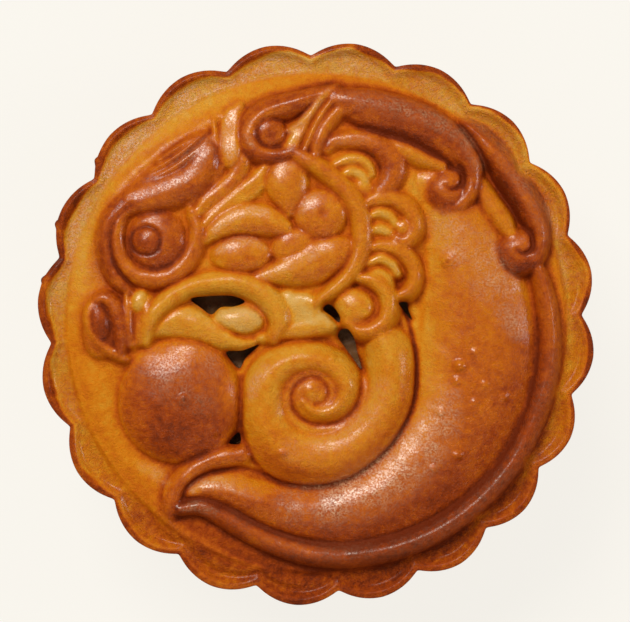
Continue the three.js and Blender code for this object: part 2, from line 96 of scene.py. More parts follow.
CAVITY = {"radius": 34.0, "floor": 3.2, "ceiling": 26.2, "round": 5.0}
CORNER_STEPS = 6  # steps round a quarter of a rounded corner
FILLING_GAP = 0.3
GAP_CUT_TOP = 36.0
GAP_CUT_FLOOR = 24.0
PASTE_LUMPS = ((0.6, 0.9, 21), (0.4, 0.35, 22))  # share, size and seed
PASTE_PRESS = (0.3, 0.22, 0.9)  # mean depth, spread and greatest depth of the lumps

SHARP_SECTION = 1.6  # power by which a crease falls in from its shoulders
SOFT_SECTION = 1.3  # power by which tones and veils fade to their edges
CREASE = 0.34  # width of the soft crease where two shapes of the figure meet
UNDERLAY_SOFTNESS = 0.6
FIGURE_SOFTNESS = 0.19  # rounding that the dough takes on in the oven
SETTLE_WIDTH = 0.9  # crests narrower than this settle in the oven
SETTLE = 0.55  # share of their height that they keep
CREASE_WIDTH = 0.5  # narrower hollows than this are painted darker, as painted shade
# How much darker hollows are painted: painted shade.
CREASE_PAINTED_SHADE = 0.3
NARROW_WIDTH = 0.35  # narrower hollows than this count as sharp creases
NARROW_PAINTED_SHADE = 0.12  # further painted shade along the bottom of a sharp crease
BROWN_SOFTNESS = 0.2
CROWN_WIDTH = 1.1  # crests narrower than this lose some of their gloss
CROWN_WEAR = 0.25
GAP_LIP = 0.75  # the dough rolls down this far round an open fold
GAP_LIP_DROP = 0.8
SKIN_LUMPS = ((0.035, 0.9, 3), (0.012, 0.35, 5))  # height, size and seed of the dough's unevenness
PATCH_SIZE = 1.6  # size of the patches by which browning wanders
PATCH_SEED = 11

RIM_CRUMBS = ((-35.9, 13.9), (-37.8, 6.3), (-30.6, 22.7))  # crumbs burnt onto the rim
CRUMB_LEVEL = 27.2
CRUMB_SIZE = 0.75
CRUMB_RISE = 0.55
CRUMB_BROWN = 0.3

PLAIN_BROWN = 0.38  # browning of the plain ring round the figure
VALLEY_BROWN = 0.34
RIM_BROWN = 0.8  # browning of the burnt band along the petals' edges
PETAL_BROWN = 0.3
MOST_LOOK = 1.2  # no look that is stored with the crust goes above this

# Bearings of browning, painted shade, painted highlights and shine, in degrees from the X axis.
LIT_SIDE = 125
PALE_SIDE = 145
PALE_SPREAD = 32
# Bearing where the petals are darkest: partly browning, partly painted shade away from the light.
DARK_PETALS = 271
BROWN_PETALS = 333
WIDE_BAND = 155
SECOND_BAND = 325
# Bearing where the painted highlight along the burnt band is brightest.
HIGHLIGHT_LINE_SIDE = 140
# Bearing where pale glaze grains lie thickest in the petals: painted sheen towards the light.
SHEEN_SIDE = 128

# Where the looks of the crust change.
PETALS_FROM = (34.7, 35.3)  # radii between which the plain ring passes into the petals
RING_FOOT = 35.0  # radius where the ring loses its gloss
RING_SHADE_LINE = 35.1  # radius of the painted shade line in the groove round the ring
FIGURE_BROWN_EDGE = (1.6, 3.2)  # the figure's browning fades out between these distances
FIGURE_LIFT = (0.3, 0.8)  # the ring counts as plain below these heights of the figure
WALL_TO = (27.0, 27.6)  # heights between which the wall's look passes into the top's
WALL_INSIDE = 1.3  # the wall's look reaches this far inside the outline
WALL_FOOT = 3  # and below this height it reaches all through
BASE_TO = 2  # height up to which dough that faces down counts as base
SOAKED_RADIUS = 24  # open folds lie within this radius
SOAKED_FROM = 24  # height from which they count as soaked
SOAKED_TO = (26.4, 27.9)  # heights between which their dough turns dry
HOLLOW_INSIDE = 1.5  # dough further inside than this, between the next heights, faces the hollow
HOLLOW_HEIGHTS = (1, 26.3)


# ---------------------------------------------------------------- the figure's shapes

def catmull_rom(points, steps):
    """The smooth line through all points but the first and the last."""
    t = np.linspace(0, 1, steps, endpoint=False)[:, None]
    spans = []
    for p0, p1, p2, p3 in zip(points, points[1:], points[2:], points[3:]):
        square = 2 * p0 - 5 * p1 + 4 * p2 - p3
        cube = 3 * p1 - p0 - 3 * p2 + p3
        spans.append(0.5 * (2 * p1 + (p2 - p0) * t + square * t ** 2 + cube * t ** 3))
    return np.vstack(spans)


def smooth_line(points):
    """A line through points of x, y, half width and share of the height."""
    points = np.array([tuple(point) + (1.0,) * (4 - len(point)) for point in points], float)
    before = 2 * points[0] - points[1]
    after = 2 * points[-1] - points[-2]
    return np.vstack([catmull_rom(np.vstack([before, points, after]), LINE_STEPS), points[-1:]])


def closed_line(outline):
    """A smooth line round a closed outline."""
    points = np.array(outline, float)
    return catmull_rom(np.vstack([points[-1:], points, points[:2]]), OUTLINE_STEPS)


def new_shape(kind, place, section, height=0.0, crest=0.0, edge=0.0):
    """A shape on a line or an oval, with its height and its browning on the crest and the edge."""
    return {"kind": kind, "place": place, "section": section,
            "height": height, "crest": crest, "edge": edge}


def oval(x, y, radii, tilt=0.0):
    """An oval's middle, its radii and its turn in degrees. A single radius makes it round."""
    return x, y, radii[0], radii[-1], radians(tilt)


def fold(height, crest, edge, points, section=0.7):
    """A raised fold along a line."""
    return new_shape("raise", smooth_line(points), section, height, crest, edge)


def mound(height, crest, edge, x, y, radii, tilt=0.0, section=0.7):
    """A raised oval."""
    return new_shape("raise", oval(x, y, radii, tilt), section, height, crest, edge)


def crease(depth, brown, points):
    """A sharp crease with round shoulders, and the change of tone in it: partly browning, partly
    painted shade.
    """
    return new_shape("press", smooth_line(points), "sharp", -depth, brown)


def dent(depth, brown, x, y, radii):
    """A pressed oval, or with a negative depth a small bump on what is there."""
    return new_shape("press", oval(x, y, radii), 1.0, -depth, brown)


def scorch(brown, points):
    """A change of browning along a line, with no height."""
    return new_shape("press", smooth_line(points), SOFT_SECTION, crest=brown)


def scorch_patch(brown, x, y, radii):
    """A change of browning over an oval, with no height."""
    return new_shape("press", oval(x, y, radii), SOFT_SECTION, crest=brown)


def veil(dust_and_sheen, dull, points):
    """Dry glaze along a line, laid where highlights fall as painted sheen, and how far the shine is
    lost there.
    """
    return new_shape("veil", smooth_line(points), SOFT_SECTION) | {"dust_and_sheen": dust_and_sheen, "dull": dull}


# Low swells that carry the crowded parts of the figure.
UNDERLAY = [mound(*swell, section=0.3) for swell in [
    (1.2, 0.36, 0.38, -12.7, 15, (15.04, 11.84)),
    (1.2, 0.4, 0.4, -21, 13.7, (9.75, 10.03)),
    (1.3, 0.3, 0.34, 7.2, 16.4, (8.64, 11.14)),
    (1.2, 0.3, 0.34, 2.4, 24.1, (8.36,)),
    (0.9, 0.26, 0.34, -12.3, 1.1, (11.84, 5.29)),
    (1.0, 0.22, 0.3, -0.4, 2.5, (6.27, 4.46)),
    (0.8, 0.34, 0.36, -26.9, 0.4, (5.85, 6.27)),
    (0.95, 0.3, 0.34, -11.3, -18.4, (3.62, 2.79)),
]]

# The long body with the ridge along its back, and the tail's folded tip.
BODY = [
    fold(2.6, 0.56, 0.4, [
        (16.6, 20.2, 2.51, 0.6), (20.2, 14.1, 4.74, 0.9), (21.3, 8.5, 6.13, 0.97),
        (22.4, 3.2, 7.66), (23, -3.1, 8.5), (21.9, -9.6, 8.36), (19.4, -15.3, 7.52),
        (15.5, -19.9, 6.69), (10.7, -23.8, 5.85), (5.9, -26, 5.29), (1, -26.9, 4.74),
        (-3.9, -26.2, 4.04), (-8.5, -24.7, 3.34), (-12.1, -23.3, 3.06), (-15, -22.8, 2.44, 0.97),
        (-17.4, -23.3, 1.32, 0.75),
    ], section=0.9),
    fold(2.7, 0.78, 0.72, [
        (30.4, 8.5, 1.25, 0.8), (31.6, 4.6, 1.6), (32.3, 0.1, 1.81), (32.3, -4.9, 1.88),
        (31.3, -10, 1.88), (29.5, -15, 1.88), (26.5, -20.3, 1.88), (21.9, -25.2, 1.88),
        (16.3, -29, 1.95), (10, -31.2, 2.02), (3.8, -32, 2.09), (-1.5, -31.5, 2.02),
        (-6.3, -29.9, 1.95), (-10.2, -28, 1.88), (-13.4, -26.2, 1.74), (-16, -25.2, 1.53),
        (-18.8, -25.5, 1.18, 0.85),
    ], section=0.8),
    fold(2.1, 0.56, 0.46, [
        (-20.6, -26.9, 1.25, 0.45), (-19.9, -24.8, 1.74, 0.85), (-19.2, -22.7, 1.88),
        (-17.6, -20.7, 1.74), (-15.2, -19.2, 1.53), (-12.4, -18.4, 1.53), (-10, -18, 1.46, 0.8),
    ], section=0.8),
    fold(0.75, 0.42, 0.4, [
        (-22.4, -24.7, 1.25, 0.5), (-20.5, -27.9, 1.67), (-17.7, -30.4, 1.81),
        (-14.1, -32.7, 1.88), (-9.8, -34.5, 1.81), (-4.9, -35.8, 1.67), (0.3, -36.4, 1.39, 0.6),
    ], section=1.2),
    # Darker below the tail of the ridge: partly browning, partly painted shade.
    scorch(0.2, [
        (-19.1, -27.4, 0.98, 0.6), (-15, -28.8, 1.25), (-10.9, -31.3, 1.39), (-6.7, -33.2, 1.39),
        (-1.8, -34.4, 1.25), (3.8, -34.8, 1.11, 0.6),
    ]),
    crease(0.5, 0.16, [
        (-18.5, -24.1, 0.42, 0.5), (-18, -22.8, 0.56), (-16.9, -21.7, 0.63), (-14.9, -20.8, 0.63),
        (-12.1, -20.1, 0.63), (-9.3, -20.1, 0.63), (-6.5, -21.2, 0.56), (-3.2, -22.4, 0.49, 0.6),
    ]),
    crease(0.2, 0.1, [
        (-18.5, -24.5, 0.42, 0.5), (-17.1, -24, 0.7), (-14.8, -23.8, 0.84), (-11.8, -25.1, 0.84),
        (-9.1, -26.9, 0.84), (-5.7, -28.6, 0.84), (-1.8, -29.7, 0.84), (3.1, -30.2, 0.7, 0.6),
    ]),
    scorch(-0.2, [
        (14.9, -0.3, 2.51, 0.9), (16, -6.5, 2.93), (14.9, -12.4, 3.06), (12.4, -16.7, 2.79),
        (8.8, -20.5, 2.51, 0.8), (4.5, -23, 1.67, 0.5),
    ]),
    scorch(0.16, [
        (26.7, 3.2, 3.62, 0.7), (29.1, -3.8, 4.18), (28.1, -10.7, 4.46), (25.4, -16.3, 4.46),
        (20.5, -21.9, 4.18), (13.5, -26.7, 3.62), (5.2, -29.3, 2.79, 0.8),
        (-3.2, -28.6, 1.95, 0.5),
    ]),
    scorch(-0.16, [
        (15.6, 19.2, 3.62, 0.8), (16.6, 15, 3.62), (16.3, 10.2, 3.06, 0.8),
        (15.5, 4.6, 1.95, 0.6),
    ]),
]

# The front of the body, coiled up beside the pearl.
COIL = [
    mound(2.35, 0.31, 0.3, 0.7, -9.9, (6.96, 6.41), section=0.3),
    fold(3.05, 0.24, 0.27, [
        (8.6, -0.7, 2.37, 0.75), (10.2, -4, 3.48, 0.95), (10.4, -7.7, 3.62), (9.8, -11, 3.9),
        (7.5, -14.8, 4.18), (3.9, -17.6, 4.32), (-0.4, -18.4, 4.32), (-4.2, -17.3, 4.32),
        (-6.5, -14.3, 3.9), (-7.1, -10.7, 3.62), (-6.3, -7.4, 3.34), (-3.9, -5.3, 2.93),
        (-0.7, -4.7, 2.65), (2.1, -5.6, 2.51), (4, -7.5, 2.51), (4.2, -9.6, 2.37),
        (3.1, -11.4, 1.95), (1.1, -12.3, 1.53), (-0.7, -11.8, 1.25, 0.95),
        (-1.8, -10.7, 0.98, 0.9),
    ], section=0.8),
    mound(2.95, 0.3, 0.32, -0.6, -9.1, (1.81,), section=0.5),
    crease(0.5, -0.04, [
        (5.4, -3.1, 1.25, 0.5), (6.3, -6, 1.95), (6.3, -9.3, 2.37), (5.2, -12.1, 2.51),
        (2.4, -13.9, 2.51), (-0.7, -13.8, 2.23), (-3.1, -12.1, 1.81, 0.7),
    ]),
    crease(0.5, 0.17, [
        (5.9, -4.6, 0.42, 0.7), (6.3, -6.8, 0.56), (6.3, -9.1, 0.63), (5.6, -11.3, 0.63),
        (4, -13, 0.63), (2.1, -13.7, 0.63), (-0.3, -13.7, 0.63), (-2.2, -12.8, 0.63),
        (-3.3, -11.1, 0.63), (-3.3, -9.5, 0.59), (-2.3, -7.9, 0.56), (-0.4, -7.2, 0.53),
        (1.1, -7.9, 0.5), (1.7, -9.3, 0.5), (1.1, -10.6, 0.5), (-0.1, -11, 0.56),
    ]),
    scorch(0.22, [
        (12.1, -3.8, 1.39, 0.5), (13, -7.9, 1.67), (12, -12.4, 1.95), (9.3, -16.6, 2.09),
        (4.6, -20.2, 2.23), (-0.4, -21.3, 2.23), (-5.3, -19.9, 1.95), (-8.1, -16.6, 1.39, 0.6),
    ]),
    scorch(-0.14, [
        (-9.5, -7.9, 1.39, 0.8), (-8.8, -5.2, 1.67), (-6, -3.5, 1.67), (-1.8, -3.1, 1.67),
        (2.4, -3.1, 1.67), (4.5, -4.9, 1.39, 0.8),
    ]),
    scorch(-0.1, [
        (7.2, -3.1, 1.67), (7.7, -7.9, 1.67), (6.8, -11.4, 1.67), (3.8, -14.9, 1.39),
        (-0.4, -15.2, 1.39), (-4.3, -13.5, 1.39, 0.6),
    ]),
    scorch(-0.14, [
        (-9.3, -2.9, 0.7, 0.6), (-6, -2.1, 0.7), (-1.8, -1.8, 0.7), (3.1, -1.4, 0.7, 0.6),
    ]),
    scorch_patch(-0.1, 0, -10.7, (1.67, 1.39)),
    scorch(-0.08, [
        (-4.2, -5.2, 1.39, 0.6), (-5.4, -8.6, 1.81), (-4.6, -12.4, 1.81), (-1.8, -15.2, 1.67),
        (2.4, -15.9, 1.53, 0.6),
    ]),
    # Painted shade along the crease between the coil and the body.
    scorch(0.3, [
        (12.4, 1.7, 0.42, 0.8), (13.2, -0.4, 0.36), (13.8, -3.1, 0.33), (14.1, -6, 0.33),
        (14, -8.8, 0.31), (13.5, -11.3, 0.28, 0.6),
    ]),
    crease(0.6, 0.2, [
        (11.8, 2.8, 0.42, 0.7), (12.7, 1, 0.5), (13.4, -1.5, 0.53), (13.9, -4.5, 0.56),
        (14, -7.7, 0.56), (13.5, -11.1, 0.56), (12.1, -14.2, 0.56), (9.8, -17.4, 0.53),
        (6.5, -20.2, 0.5, 0.8), (3.1, -21.9, 0.47, 0.6), (-1.1, -22.6, 0.47, 0.5),
        (-4.9, -22, 0.47, 0.4),
    ]),
    crease(0.4, 0.2, [
        (-10.4, -8.6, 0.42, 0.6), (-10.3, -11.4, 0.56), (-10.2, -14.2, 0.56), (-9.5, -16.9, 0.56),
        (-8.2, -19.5, 0.56, 0.6),
    ]),
]

# The pearl, with tones that are partly oven browning and partly painted light: darker at the
# bottom, paler at the top and along the right rim where highlights fall.
PEARL = [
    mound(3.2, 0.72, 0.54, -18.9, -10.7, (8.71,), section=0.55),
    scorch_patch(0.08, -18.5, -15.6, (6.96, 4.18)),
    scorch_patch(-0.06, -13.7, -14.9, (2.79, 3.48)),
    scorch_patch(-0.16, -19.9, -4, (6.27, 2.51)),
    scorch_patch(-0.14, -11.8, -8.6, (1.95, 4.74)),
]

# The plump scales on the cheek.
CHEEK_SCALES = [
    fold(2.85, 0.5, 0.54, [
        (-15.3, 11.4, 0.56, 0.6), (-13.9, 12.8, 1.25, 0.85), (-11.7, 14.1, 1.88, 0.97),
        (-9.2, 14.6, 2.3), (-6.5, 14.2, 2.16), (-4.3, 13.4, 1.25, 0.85),
    ], section=0.42),
    mound(2.8, 0.6, 0.54, -10.3, 9.6, (4.32, 2.58), section=0.42),
    mound(2.7, 0.56, 0.54, -3.2, 11, (3.34, 2.37), tilt=24, section=0.45),
    fold(2.85, 0.54, 0.54, [
        (-4.2, 21.7, 1.81, 0.7), (-4, 19.8, 3.13), (-3.8, 17.8, 2.23, 0.95),
        (-3.6, 15.6, 0.98, 0.7),
    ], section=0.45),
    mound(3.0, 0.56, 0.56, 0.6, 15.2, (3.83, 3.69), section=0.45),
    fold(2.9, 0.52, 0.54, [
        (-8.2, 6.5, 0.84, 0.6), (-5.7, 7, 1.6, 0.85), (-2.8, 7.8, 2.65), (0, 8.8, 3.2),
        (2.5, 9.8, 2.51, 0.95), (4.2, 10.9, 1.25, 0.7),
    ], section=0.45),
    dent(0.25, 0.16, 1, 15.3, (0.84,)),
    dent(0.2, 0.14, -9.1, 9.2, (0.98, 0.7)),
    crease(0.3, 0.1, [(-0.3, 21.3, 0.28, 0.5), (0.1, 19.6, 0.42), (0.7, 18.5, 0.42, 0.5)]),
]

# Two horns with curled tips, and the strands behind them.
HORNS = [
    fold(2.3, 0.5, 0.5, [
        (10.4, 25.1, 1.25, 0.75), (12.7, 24, 1.53), (15.2, 22.8, 1.53), (17.4, 21.9, 1.25, 0.9),
    ]),
    fold(2.25, 0.56, 0.52, [
        (22.7, 19.5, 1.39, 0.8), (24.1, 16.9, 1.81), (25.8, 14.5, 1.81), (27, 12.5, 1.25, 0.9),
    ]),
    mound(2.75, 0.8, 0.74, 28.4, 9.9, (3.55,), section=0.5),
    fold(3.0, 0.84, 0.92, [
        (20.8, 28.1, 0.98, 0.6), (22.6, 26.5, 1.53, 0.85), (24.8, 23.8, 2.02), (26.7, 21, 2.3),
        (28.8, 17.8, 2.37), (30.4, 14.9, 2.16), (31.1, 12.3, 1.67), (30.8, 9.9, 1.53, 0.95),
        (29.5, 8.2, 1.39, 0.85), (27.6, 7.7, 1.11, 0.7),
    ], section=0.6),
    mound(2.6, 0.7, 0.8, 28, 10.6, (1.46,), section=0.5),
    crease(0.7, 0.16, [
        (29.7, 13.2, 0.42, 0.5), (29.9, 11.8, 0.63), (29.7, 10.4, 0.7), (28.6, 9.8, 0.63),
        (27.6, 10.3, 0.49, 0.6),
    ]),
    mound(2.8, 0.8, 0.7, 18.4, 18.5, (3.34, 3.48), section=0.5),
    fold(3.05, 0.8, 0.9, [
        (2.4, 31.3, 1.67, 0.7), (5.2, 30.5, 2.51, 0.95), (8.2, 29.7, 3.06), (11.3, 28.8, 3.2),
        (14.3, 27.6, 3.27), (17.1, 26, 3.13), (19.5, 24.2, 2.65), (21.2, 22.1, 2.09),
        (21.7, 19.9, 1.67), (21.2, 18, 1.6), (19.8, 16.4, 1.39, 0.88), (17.8, 15.7, 1.11, 0.7),
    ], section=0.6),
    mound(2.75, 0.7, 0.74, 18.1, 19.4, (1.6,), section=0.5),
    crease(0.7, 0.16, [
        (19.1, 22.7, 0.42, 0.5), (20.1, 21.6, 0.63), (20.3, 20.2, 0.7), (19.8, 19.1, 0.7),
        (18.7, 18.7, 0.63), (17.7, 19.2, 0.49, 0.6),
    ]),
    fold(2.75, 0.7, 0.68, [
        (-0.1, 23.3, 0.98, 0.8), (0.3, 25.1, 1.25), (1.3, 27.2, 1.32), (2.8, 29.1, 1.32),
        (5, 30.5, 1.18, 0.9),
    ], section=0.85),
    scorch(0.12, [
        (4.5, 31.1, 1.95, 0.8), (10, 29.9, 2.51), (15.6, 28.3, 2.51), (19.8, 24.8, 2.09),
        (21.3, 21, 1.67, 0.8),
    ]),
    # Painted shade on the lower slope of the first horn, with browning.
    scorch(0.28, [
        (3.8, 28, 0.84, 0.6), (7.4, 27, 1.11), (11.8, 25.9, 1.39), (15.6, 24.2, 1.39),
        (18.2, 22.3, 0.98, 0.6),
    ]),
    # Painted shade on the inner slope of the second horn, with browning.
    scorch(0.26, [
        (23.7, 22.4, 0.84, 0.6), (25.8, 19.1, 1.25), (27.7, 16, 1.25), (29.3, 13.2, 0.98, 0.6),
    ]),
]

# Curls of the mane, with pale folds inside each.
MANE_SCROLLS = [
    fold(2.6, 0.72, 0.7, [
        (1.5, 24.2, 0.84, 0.7), (2.9, 25.4, 1.25, 0.9), (5.2, 25.6, 1.46), (7.5, 25.2, 1.74),
        (9.5, 24, 1.95), (10.7, 22, 2.02), (10.4, 20.1, 1.88), (9.1, 18.5, 1.39, 0.9),
    ], section=0.65),
    scorch(0.14, [
        (5.4, 24.5, 0.56, 0.6), (7.7, 24, 0.84), (9.2, 22.7, 1.11), (9.8, 21, 1.11),
        (8.9, 19.5, 0.84, 0.6),
    ]),
    crease(0.2, 0.12, [
        (6.8, 24, 0.28, 0.6), (8.1, 23.1, 0.33), (8.8, 21.7, 0.33), (8.2, 20.1, 0.28, 0.6),
    ]),
    fold(2.2, 0.3, 0.36, [
        (2.6, 22.1, 0.7, 0.8), (4.3, 22.8, 0.91), (6, 22.8, 0.91), (7.2, 22, 0.84),
        (7.8, 20.8, 0.63, 0.9),
    ]),
    scorch(0.07, [(2.8, 22.3, 0.84, 0.8), (5.2, 22.4, 1.25), (7.4, 21, 1.11, 0.7)]),
    scorch(0.06, [(7.9, 14.1, 1.25, 0.7), (10, 13.8, 1.25, 0.7)]),
    fold(2.15, 0.24, 0.32, [
        (3.5, 20.6, 0.7, 0.8), (4.7, 21.1, 0.91), (6, 20.9, 0.91), (6.8, 19.9, 0.77, 0.9),
    ]),
    mound(2.0, 0.42, 0.4, 6.1, 18.9, (2.09, 1.25), section=0.6),
    fold(2.6, 0.6, 0.58, [
        (6.8, 16.7, 0.84, 0.7), (8.5, 17.4, 1.18, 0.9), (10.6, 17.4, 1.32), (12.5, 16.4, 1.46),
        (13.7, 14.6, 1.39), (13.7, 12.7, 1.39), (12.4, 11.4, 1.25, 0.9), (11.1, 12, 0.77, 0.8),
    ], section=0.65),
    mound(2.35, 0.42, 0.42, 12.1, 13.5, (1.32,), section=0.6),
    fold(2.2, 0.28, 0.34, [
        (7.4, 15, 0.7, 0.8), (8.8, 15.4, 0.86), (10.3, 14.9, 0.86), (11, 13.8, 0.7, 0.9),
    ]),
    fold(2.15, 0.26, 0.32, [(7.7, 13, 0.7, 0.8), (8.9, 13.2, 0.91), (10, 12.8, 0.84, 0.9)]),
    fold(2.5, 0.54, 0.54, [
        (7.5, 10.6, 0.77, 0.7), (9.5, 10.9, 1.11, 0.9), (11.6, 10.3, 1.32), (13.2, 8.6, 1.39),
        (13.8, 6.5, 1.39), (13.1, 4.7, 1.39), (11.7, 4, 1.11, 0.85),
    ], section=0.65),
    fold(2.2, 0.26, 0.32, [
        (7.4, 8.5, 0.7, 0.8), (8.9, 9.1, 0.88), (10.4, 8.4, 0.91), (11.4, 7, 0.77, 0.9),
    ]),
    fold(2.15, 0.22, 0.3, [
        (7.1, 6.7, 0.7, 0.8), (8.5, 7.1, 0.88), (9.8, 6.5, 0.91), (10.4, 5.4, 0.77, 0.9),
    ]),
    mound(2.75, 0.42, 0.4, 5.7, 2.2, (3.2,), section=0.45),
    fold(3.0, 0.5, 0.46, [
        (5.9, 6.4, 0.84, 0.8), (7.9, 6, 1.39), (9.6, 4.6, 1.67), (10.2, 2.5, 1.74),
        (9.5, 0.4, 1.74), (7.7, -0.8, 1.67), (5.6, -1, 1.39), (4.2, 0.3, 0.91, 0.9),
    ], section=0.6),
    crease(0.45, 0.14, [
        (5.4, 5, 0.42, 0.6), (7, 4.5, 0.5), (7.9, 3.2, 0.5), (7.9, 1.7, 0.5), (7, 0.7, 0.47),
        (5.7, 0.7, 0.36, 0.5),
    ]),
]

# The scroll on the forehead, and the strands that run up from it.
FOREHEAD_SCROLL = [
    mound(2.75, 0.8, 0.8, -6.4, 26.5, (2.44,), section=0.4),
    fold(2.9, 0.8, 0.86, [
        (2.9, 32.7, 0.84, 0.7), (0.7, 32, 1.25, 0.85), (-2, 30.9, 1.81), (-4.5, 30.1, 2.09),
        (-6.8, 29.4, 2.16), (-8.6, 28, 2.16), (-9.2, 26, 2.09), (-8.4, 24.2, 1.95),
        (-6.5, 23.4, 1.6), (-4.5, 23.5, 1.32), (-2.8, 24.2, 0.84, 0.85),
    ], section=0.75),
    crease(0.3, 0.1, [
        (1.8, 32.5, 0.35, 0.5), (-1.8, 31.8, 0.42), (-5.2, 30.9, 0.42), (-7.9, 29.8, 0.42),
        (-9.8, 28.1, 0.42), (-10.3, 26, 0.35, 0.5),
    ]),
    dent(0.25, 0.12, -6.3, 26.2, (0.84,)),
    crease(0.3, 0.08, [
        (-5.2, 28.1, 0.35, 0.4), (-6.5, 28.6, 0.42, 0.8), (-7.8, 27.9, 0.45), (-8.3, 26.6, 0.47),
        (-7.8, 25.2, 0.47), (-6.5, 24.4, 0.45), (-5.2, 24.8, 0.39, 0.6),
    ]),
    fold(2.3, 0.3, 0.34, [
        (-1.7, 27.4, 1.11, 0.6), (-2.6, 26.2, 1.11), (-3.5, 24.9, 0.91), (-3.8, 24, 0.42, 0.7),
    ], section=0.6),
    fold(2.7, 0.5, 0.44, [
        (2.6, 33, 0.42, 0.7), (0.8, 31.3, 0.63), (-0.6, 29.4, 0.7), (-2, 27.9, 0.7),
        (-3.6, 26.9, 0.56, 0.6),
    ], section=0.7),
    fold(2.55, 0.56, 0.6, [
        (-2.9, 24.1, 0.56, 0.8), (-2.1, 26, 0.64), (-1, 28.3, 0.64), (0.4, 30.4, 0.61),
        (2, 32.2, 0.49, 0.8),
    ], section=0.8),
    fold(2.6, 0.6, 0.64, [
        (-1.8, 23.5, 0.63, 0.8), (-1, 25.5, 0.7), (0.1, 27.9, 0.7), (1.5, 30.1, 0.67),
        (3.1, 31.8, 0.56, 0.8),
    ], section=0.8),
]

# The heavy brow with its wrinkles, and the folds from it to the cheek.
BROW = [
    fold(1.0, 0.58, 0.46, [
        (-26.6, 4.6, 1.11, 0.6), (-28.4, 6.5, 1.67, 0.9), (-29.3, 9.6, 2.09), (-29, 13.2, 2.51),
        (-27.6, 16.6, 3.06), (-25.1, 19.4, 3.62), (-22, 22, 3.76), (-18.8, 24.2, 3.48),
        (-15.7, 26.5, 2.65), (-13.2, 28.6, 1.53, 0.7),
    ], section=1.6),
    fold(2.25, 0.8, 0.8, [
        (-25.8, 16.4, 1.67, 0.8), (-23.3, 18.5, 2.37, 0.95), (-20.5, 20.3, 2.93),
        (-17.6, 22.3, 2.79), (-15.2, 24.5, 1.95, 0.95), (-13.9, 26.3, 0.98, 0.7),
    ], section=0.9),
    fold(3.0, 0.78, 0.9, [
        (-26.6, 15.6, 1.11, 0.6), (-24.8, 16.6, 1.67, 0.85), (-22.1, 17.4, 2.09),
        (-19.4, 18.2, 2.37), (-16.9, 19.6, 2.37), (-15, 21.9, 1.95), (-14.5, 24.2, 1.25, 0.85),
    ], section=0.85),
    fold(2.9, 0.74, 0.84, [
        (-25.8, 17, 0.84, 0.8), (-22.4, 18.1, 1.25, 0.95), (-19.8, 18.9, 1.39),
        (-17.3, 20.3, 1.39), (-15.6, 22.4, 1.25), (-14.9, 24.5, 0.84, 0.85),
    ], section=0.45),
    fold(2.68, 0.74, 0.84, [
        (-25.9, 17.7, 0.84, 0.8), (-22.7, 18.7, 1.25, 0.95), (-20.2, 19.5, 1.39),
        (-17.7, 20.9, 1.39), (-16.2, 22.8, 1.25), (-15.3, 24.8, 0.84, 0.85),
    ], section=0.45),
    fold(2.7, 0.8, 0.86, [
        (-22.4, 20.2, 0.31, 0.7), (-19.8, 21.6, 0.47), (-17.3, 23.4, 0.47),
        (-14.9, 25.8, 0.39, 0.8),
    ]),
    fold(2.6, 0.8, 0.86, [
        (-22.8, 21.2, 0.31, 0.7), (-20.1, 22.7, 0.47), (-17.6, 24.5, 0.47),
        (-15.2, 26.6, 0.39, 0.8),
    ]),
    fold(2.45, 0.78, 0.84, [
        (-21.9, 22.6, 0.31, 0.7), (-19.4, 24.2, 0.45), (-16.3, 26.3, 0.39, 0.8),
    ]),
    fold(2.0, 0.66, 0.6, [
        (-14.1, 28.3, 0.56, 0.6), (-13.9, 26.3, 0.63, 0.9), (-13.4, 24.1, 0.77),
        (-13.2, 21.9, 0.91), (-14.5, 19.6, 1.04), (-16.4, 17.7, 0.84), (-17.7, 16.3, 0.49, 0.8),
    ], section=0.8),
    fold(2.4, 0.5, 0.5, [
        (-11.7, 29.5, 0.84, 0.35), (-12.3, 27.7, 0.98, 0.54), (-12.4, 25.6, 0.98, 0.75),
        (-12.3, 23.7, 0.91, 0.93), (-12.1, 22.1, 0.63, 0.95),
    ], section=0.3),
    fold(2.5, 0.5, 0.5, [
        (-11.1, 29.8, 0.84, 0.33), (-11.7, 27.9, 0.98, 0.56), (-11.8, 25.8, 0.98, 0.78),
        (-11.7, 23.8, 0.91, 0.96), (-11.7, 22.3, 0.63, 0.97),
    ], section=0.3),
    fold(2.6, 0.5, 0.5, [
        (-10.6, 30.1, 0.84, 0.33), (-11, 28, 0.84, 0.58), (-11.2, 25.9, 0.84, 0.81),
        (-11.1, 24.1, 0.84), (-11.3, 22.6, 0.63),
    ], section=0.3),
    fold(2.3, 0.56, 0.5, [
        (-10, 24.1, 0.84, 0.8), (-10.3, 22, 1.32), (-11.6, 19.9, 1.39), (-13.7, 18.1, 1.32),
        (-15.6, 16.3, 1.11), (-16.6, 14.9, 0.63, 0.9),
    ], section=0.6),
    fold(2.2, 0.48, 0.44, [
        (-6.8, 21.9, 0.84, 0.8), (-8.4, 19.9, 1.25), (-10.4, 18.1, 1.32), (-12.7, 16.4, 1.25),
        (-14.6, 14.8, 1.04), (-15.7, 13.2, 0.56, 0.9),
    ], section=0.6),
    fold(2.1, 0.44, 0.4, [
        (-6.7, 19.9, 0.7, 0.7), (-8.8, 18.1, 0.91), (-11, 16.6, 0.91), (-13.2, 14.9, 0.77),
        (-14.9, 13.2, 0.56, 0.9),
    ], section=0.7),
]

